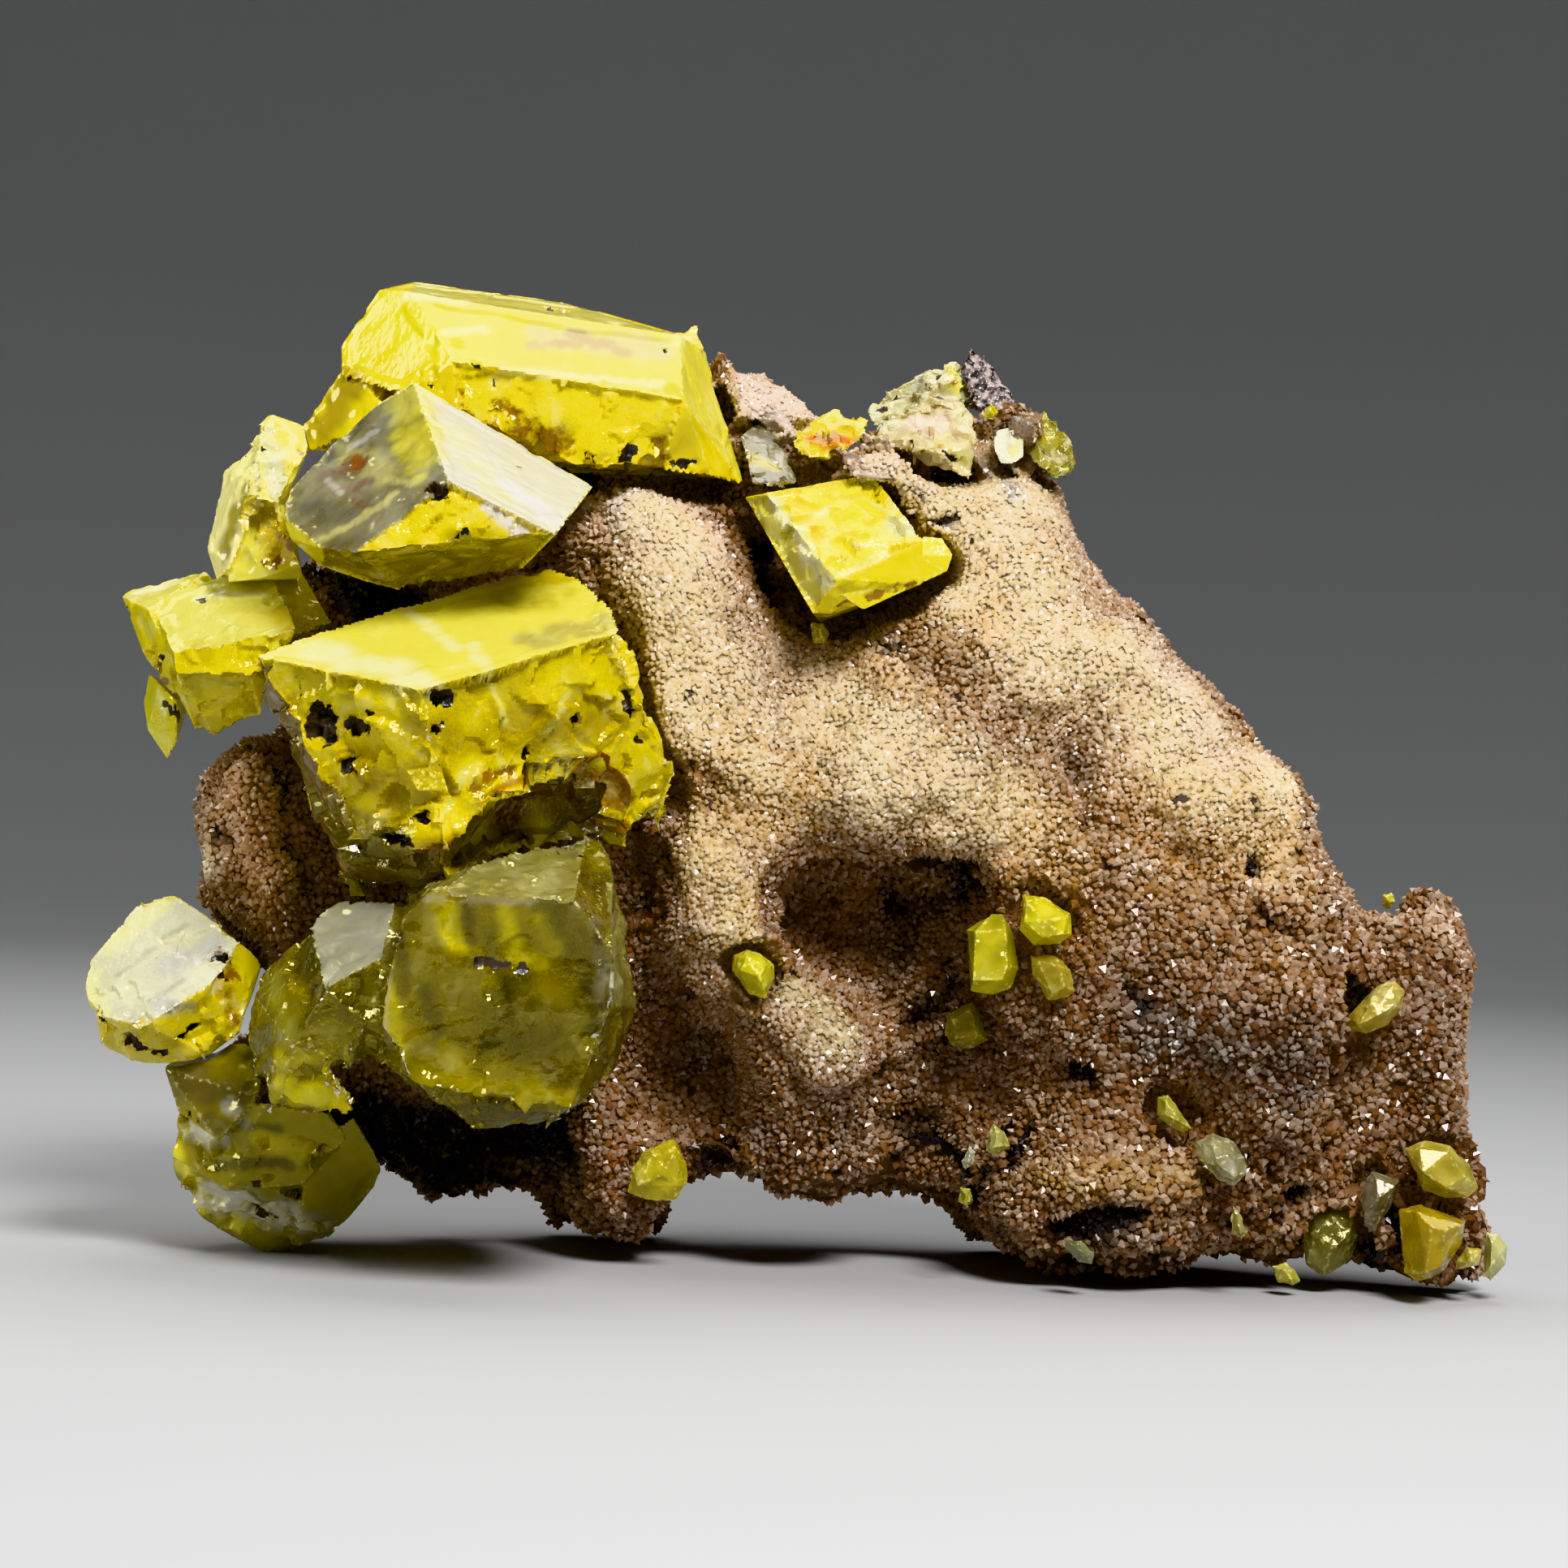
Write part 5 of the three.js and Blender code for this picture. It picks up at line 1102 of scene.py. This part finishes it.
barrel.mark("dark", [
    (-30, 28.4, -24.6, 27.4, 0.35), (-22, 39.3, -21, 39.1, 0.25), (-43, 34, -41.5, 33.6, 0.4),
], 0.2)
barrel.mark("rust", [(-17.8, 20, -17.2, 18.8, 0.5)], 0.2)
barrel.done()

# Foot cluster: the crystals at the lower left that the specimen stands on, olive and clear, with
# a smoky brown wedge above and a shattered grey-white one at the bottom.
foot = Crystal("foot_sulfur", "foot_cluster", 0.28, hue(140, 126, 4), clear=0.3)
foot.wash(
    (hue(104, 94, 58), 0.95, [(-57.5, 16, -52, 15, 3.0), (-55, 12, -53, 11, 1.5)]),
    (hue(222, 210, 44), 0.95, [(-58, 9.5, -55.5, 4, 1.5), (-55, 3.5, -51, 2, 1.2)]),
    (hue(224, 222, 200), 0.95, [(-53, 5, -46.5, 3, 3.4), (-57, 11, -54.5, 10.5, 1.3)]),
    (hue(90, 84, 60), 0.9, [(-51, 6, -48, 3, 0.4), (-53, 3, -49, 4.6, 0.35), (-47.4, 5, -46.4, 2.4, 0.4)]),
    (hue(60, 50, 8), 0.95, [(-54, 8, -47, 8.4, 0.9), (-52, 12, -48, 11.6, 0.7)]),
    (hue(196, 178, 14), 0.8, [(-50, 10.5, -46, 9.5, 1.6)]),
    (hue(126, 112, 8), 0.8, [(-44, 8, -41, 5, 3.0)]),
)
foot.frosted(0.6, [(-52.5, 5, -46, 3, 3.0), (-57, 11, -54.5, 10.5, 1.0), (-53, 13.5, -51.5, 12, 0.9)])
foot.cleared(0.05, [(-53, 4.5, -46.5, 2, 3.4), (-58, 9.5, -55.5, 4, 1.8), (-57, 11, -54.5, 10.5, 1.5)])
foot.shatter([(-54, 5, -46, 2, 3.2), (-58, 12, -54, 10, 2), (-50, 9, -45, 9, 2)])
foot.shards(2.6, 0.5, 84, 0.35)
foot.chip(70, 1.3, 0.4, 83)
foot.mark("dark", [
    (-50.6, 6.6, -49.4, 6.2, 0.3), (-50.3, 4.4, -49.4, 3.4, 0.4), (-57.5, 12.5, -55.5, 12.3, 0.35),
    (-48.6, 3.5, -48.2, 2.6, 0.3),
], 0.5)
foot.done()

# Pale crystal: the rounded one at the far left, white and finely cleaved over its top, with a
# yellow rim full of black holes below and orange cracks where it meets the others.
pale = Crystal("pale_sulfur", "pale_crystal", 0.26, hue(214, 196, 30))
pale.side((-0.24, -0.70, 0.67), hue(202, 200, 162), broken=0.5, frost=0.2, clear=0.1, spread=0.5)
pale.wash(
    (hue(230, 228, 150), 0.8, [(-65, 29, -61, 32, 2.2), (-67, 26, -66, 22, 1.6)]),
    (hue(176, 176, 164), 0.8, [(-59, 27, -55.5, 29, 2.0), (-60, 23, -57, 22, 1.4)]),
    (hue(156, 152, 112), 0.6, [
        (-64, 25.8, -61, 28.4, 0.5), (-61, 23.4, -58, 25.4, 0.5), (-60, 29.4, -58, 30.6, 0.5)]),
    (hue(208, 188, 12), 0.95, [(-66, 20.8, -60, 18.6, 1.8), (-59, 20, -53, 23, 2.0)]),
    (hue(176, 150, 14), 0.8, [(-54, 26, -52.6, 22, 1.4)]),
)
pale.shatter([(-66, 20.5, -54, 19.5, 2.4), (-55, 29, -53, 22, 2.4)])
pale.shards(4, 0.2, 94, 0.08)
pale.strike(40, 3.4, 0.2, 91)
pale.chip(60, 1.2, 0.35, 93)
pale.mark("dark", [
    (-65.8, 20.8, -65, 20.4, 0.4), (-63.2, 19.3, -61.8, 18.7, 0.6), (-60.7, 19, -59.9, 18.5, 0.5),
    (-58.4, 19.6, -57.6, 19.4, 0.4), (-56.6, 20.6, -56, 20.9, 0.35), (-66.3, 22.4, -66, 21.8, 0.3),
    (-64.4, 19.4, -64, 19.2, 0.3), (-55.2, 27.6, -53.8, 28.8, 0.4), (-53.8, 26.3, -53.3, 25.6, 0.3),
], 0.7)
pale.mark("rust", [
    (-54.6, 28.6, -52.8, 26, 0.6), (-53.2, 24, -52.6, 21.6, 0.5), (-66.3, 21.2, -62, 19.4, 0.4),
], 0.2)
pale.done()

# Window crystal: the bright block in the middle, with crackled vivid faces framed by pale ones,
# a clear grey band down its left side and a deep yellow corner at its right.
window = Crystal("window_sulfur", "window_crystal", 0.24, hue(226, 206, 14))
window.side((0.03, -0.74, 0.67), hue(240, 228, 60), broken=1.0, clear=0.12, spread=0.4)
window.side((-0.9, -0.3, -0.2), hue(206, 200, 110), broken=0.6, clear=0.2, spread=0.5)
window.wash(
    (hue(196, 196, 150), 0.9, [(-4, 73.6, 1.5, 65.4, 1.1), (7.4, 72.5, 9.8, 71, 1.2)]),
    (hue(240, 236, 170), 0.8, [(3, 67, 8, 69.5, 0.7), (6, 74, 8, 73, 0.9), (-1, 71, 1, 73, 0.8)]),
    (VIVID, 0.8, [(-2, 73.5, 1, 70, 1.2), (6.5, 75, 7.5, 73.5, 1.0)]),
    (hue(190, 172, 20), 0.7, [(2, 71, 5, 70.4, 0.6), (6, 70.6, 8, 72.6, 0.5)]),
    (hue(216, 196, 6), 0.95, [(9, 69, 12.6, 68, 1.7), (2, 64.4, 8, 66, 1.0)]),
    (hue(176, 158, 70), 0.9, [(3.6, 69.8, 4.4, 69.2, 0.6)]),
)
window.frosted(0.45, [(-4, 73.4, 0, 67, 0.8), (7.4, 72.4, 9.4, 71, 0.9)])
window.shards(2.6, 0.4, 104, 0.15)
window.chip(60, 1.1, 0.3, 103)
window.mark("rust", [(3, 63.6, 9.5, 66, 0.4), (3.4, 68.6, 3, 68.4, 0.4)], 0.1)
window.mark("dark", [(9.5, 66, 12, 66.6, 0.25)], 0.1)
window.done()

# Peak crystals: the smoky block, the amber crystal under its yellow cap and the cream, back,
# pearl and green crystals of the peak, all clear to milky and stained by the crust between them.
sulfur("amber", (0.95, 0.66, 0.05), 200, 0.1)
sulfur("smoke", (0.9, 0.88, 0.72), 120, 0.12, 0.4, 0.5)

smoky = Crystal("smoky_sulfur", "smoky_crystal", 0.24, hue(142, 136, 108), broken=0.5, clear=0.35)
smoky.wash(
    (hue(206, 190, 80), 0.8, [(-6.5, 77.5, -4, 76.5, 1.2)]),
    (hue(120, 112, 90), 0.7, [(-6, 79, -3, 79, 0.7)]),
)
smoky.shards(1.8, 0.5, 134, 0.25)
smoky.strike(70, 2.0, 0.5, 111)
smoky.chip(30, 1.0, 0.3, 112)
smoky.done()

amber = Crystal("amber_sulfur", "amber_crystal", 0.24, hue(214, 196, 60), broken=0.6)
amber.wash(
    (hue(206, 112, 4), 0.95, [(-0.4, 79.4, 3.5, 79.4, 1.5)]),
    (hue(228, 220, 110), 0.9, [(0, 82, 4, 81.4, 1.0)]),
)
amber.shards(1.8, 0.5, 135, 0.25)
amber.strike(80, 1.8, 0.45, 113)
amber.mark("rust", [(0, 79.4, 2, 80, 0.9)])
amber.done()

cream = Crystal("cream_sulfur", "cream_crystal", 0.22, hue(196, 182, 138), broken=0.9)
cream.wash(
    (hue(226, 210, 190), 0.9, [(9, 81.5, 11.5, 82, 1.8)]),
    (hue(196, 186, 110), 0.9, [(12, 80, 14.5, 78, 1.5)]),
    (hue(206, 204, 170), 0.8, [(5, 81, 7, 81.5, 1.4), (13, 83, 14, 82.4, 1.0)]),
    (hue(150, 116, 80), 0.7, [
        (7.4, 83, 9.6, 80.8, 0.35), (11.6, 83.4, 13.6, 80.4, 0.3), (6, 79.4, 8, 79, 0.5)]),
)
cream.mark("dark", [(12.6, 78.4, 13.6, 77.8, 0.4), (8.6, 79, 9.4, 78.6, 0.3)], 0.3)
cream.shards(1.8, 0.5, 131, 0.25)
cream.strike(90, 2.4, 0.6, 115)
cream.done()

back = Crystal("back_sulfur", "back_crystal", 0.26, hue(186, 180, 140), broken=1)
back.wash(
    (hue(150, 138, 96), 0.8, [(8, 84, 12, 85.5, 1.6)]),
    (hue(216, 204, 90), 0.9, [(12, 87, 13.5, 85, 1.2)]),
    (hue(120, 112, 84), 0.9, [(4.5, 83, 6, 85.4, 0.5), (6, 86, 9, 86.4, 0.4), (8.6, 83.4, 9.4, 86, 0.4)]),
    (hue(226, 222, 196), 0.8, [(5.6, 84.6, 7.4, 85.4, 0.6), (9.8, 86.4, 11, 87, 0.4)]),
)
back.shards(1.8, 0.5, 132, 0.25)
back.strike(90, 2.2, 0.5, 117)
back.mark("dark", [
    (9.6, 85.2, 10.4, 85, 0.35), (6.4, 84, 7.2, 84.2, 0.25), (7.6, 86.2, 8.4, 86.6, 0.22),
    (11, 86.4, 11.6, 86, 0.25),
    (12, 88, 12.3, 87, 0.25), (5, 82.4, 6, 82.6, 0.3), (11, 84, 12, 83.6, 0.3)], 0.3)
back.mark("rust", [(12.6, 85.8, 13.4, 85.6, 0.5), (8.5, 84.5, 11, 85.6, 0.35)])
back.done()

pearl = Crystal("pearl_sulfur", "pearl_crystal", 0.2, hue(226, 222, 190), broken=0.4, frost=0.2)
pearl.strike(60, 1.4, 0.25, 118)
pearl.wash(
    (hue(150, 140, 100), 0.8, [(18, 81, 18.2, 79, 0.4)]),
    (hue(214, 206, 100), 0.8, [(19, 80, 18.5, 78.6, 0.7)]),
)
pearl.done()

green = Crystal("green_sulfur", "green_crystal", 0.22, hue(140, 132, 66), broken=1)
green.wash(
    (hue(196, 194, 160), 0.8, [(22.5, 83, 24.5, 80, 1.0)]),
    (hue(150, 132, 20), 0.8, [(19.5, 81.5, 22, 81, 1.0)]),
    (hue(110, 100, 70), 0.8, [(20, 79.5, 24, 79, 0.8)]),
)
green.shards(1.8, 0.5, 133, 0.25)
green.strike(90, 1.8, 0.5, 119)
green.mark("dark", [
    (21.6, 81.5, 22.6, 80.8, 0.22), (20.5, 80, 22, 79.4, 0.25), (22.4, 79, 24, 78.6, 0.22),
    (19.8, 83, 20.4, 82, 0.25),
    (22.8, 82.6, 23.6, 81.4, 0.2)], 0.4)
green.done()

# Peak crust: the dark tip at the back of the peak, a frothy grey to black crust with white glints,
# grown over the crystals there.
FINISHES["druse"], flow = new_material("dark_crust")
mm = in_mm(flow)
froth = cloud(flow, mm, 1.1, 3)
glints = cloud(flow, mm, 3.2, 1)
colour = froth.over(0.42, 0.62).tint(hue(50, 40, 38), hue(166, 148, 142))
colour = glints.over(0.64, 0.7).tint(colour, hue(232, 226, 222))
bump = flow.node("ShaderNodeBump", None, {"Strength": 1.0, "Distance": 0.3 * MM, "Height": froth})
finish(flow, flow.node("ShaderNodeBsdfPrincipled", None, {
    "Base Color": colour, "Roughness": 0.35, "Normal": bump}))

crust = Crystal("peak_crust_skin", "peak_crust", 0.16, CRUST_AND_SHADE_BLACK, broken=1)
crust.strike(160, 0.9, 0.5, 121)
crust.strike(300, 0.4, 0.25, 122)
crust.done()

# Small crystals: single crystals, beads and chips of sulfur scattered over the druse, each sharp
# or broken, with its own shade.
SMALL = {
    "bead_crystal": (hue(232, 222, 60), 0.4), "slope_prism": (hue(212, 200, 60), 0.2),
    "slope_block": (hue(222, 210, 50), 0.3), "lobe_crystal": (hue(214, 196, 60), 1.0),
    "ravine_bead": (hue(212, 206, 110), 0.6), "base_bead": (hue(216, 208, 100), 0.5),
    "window_chip": (hue(168, 156, 60), 0.5), "gap_bead": (hue(206, 200, 80), 0.4),
    "peak_bead": (hue(214, 200, 20), 0.2), "edge_crystal": (hue(206, 202, 130), 0.5),
    "shelf_blade": (hue(206, 196, 90), 0.3), "shelf_chip": (hue(196, 190, 110), 0.6),
    "ravine_chip": (hue(206, 208, 176), 0.6), "side_chip": (hue(196, 190, 120), 0.6),
    "dull_blade": (hue(176, 158, 60), 0.4), "dull_wedge": (hue(158, 142, 66), 0.4),
    "base_crystal": (hue(116, 108, 66), 0.7), "cleft_crystal": (hue(196, 178, 90), 0.4),
    "corner_crystal": (hue(196, 180, 80), 0.4), "corner_prism": (hue(178, 150, 30), 0.3),
    "corner_chip": (hue(206, 190, 90), 0.5), "corner_stub": (hue(130, 118, 90), 0.4),
    "shelf_cluster": (hue(170, 164, 120), 0.8), "under_chip": (hue(140, 142, 100), 0.8),
}
SMALL_VOXEL = 0.15
for seed, (node, (tone, broken)) in enumerate(SMALL.items()):
    small = Crystal(node + "_sulfur", node, SMALL_VOXEL, tone, broken, clear=0.4)
    small.tones *= (1 + 0.22 * ripple(small.points, 3.0, 200 + seed))[:, None]
    small.strike(40, 1.1, 0.22, 220 + seed)
    small.chip(25, 0.6, 0.15, 260 + seed)
    small.done()
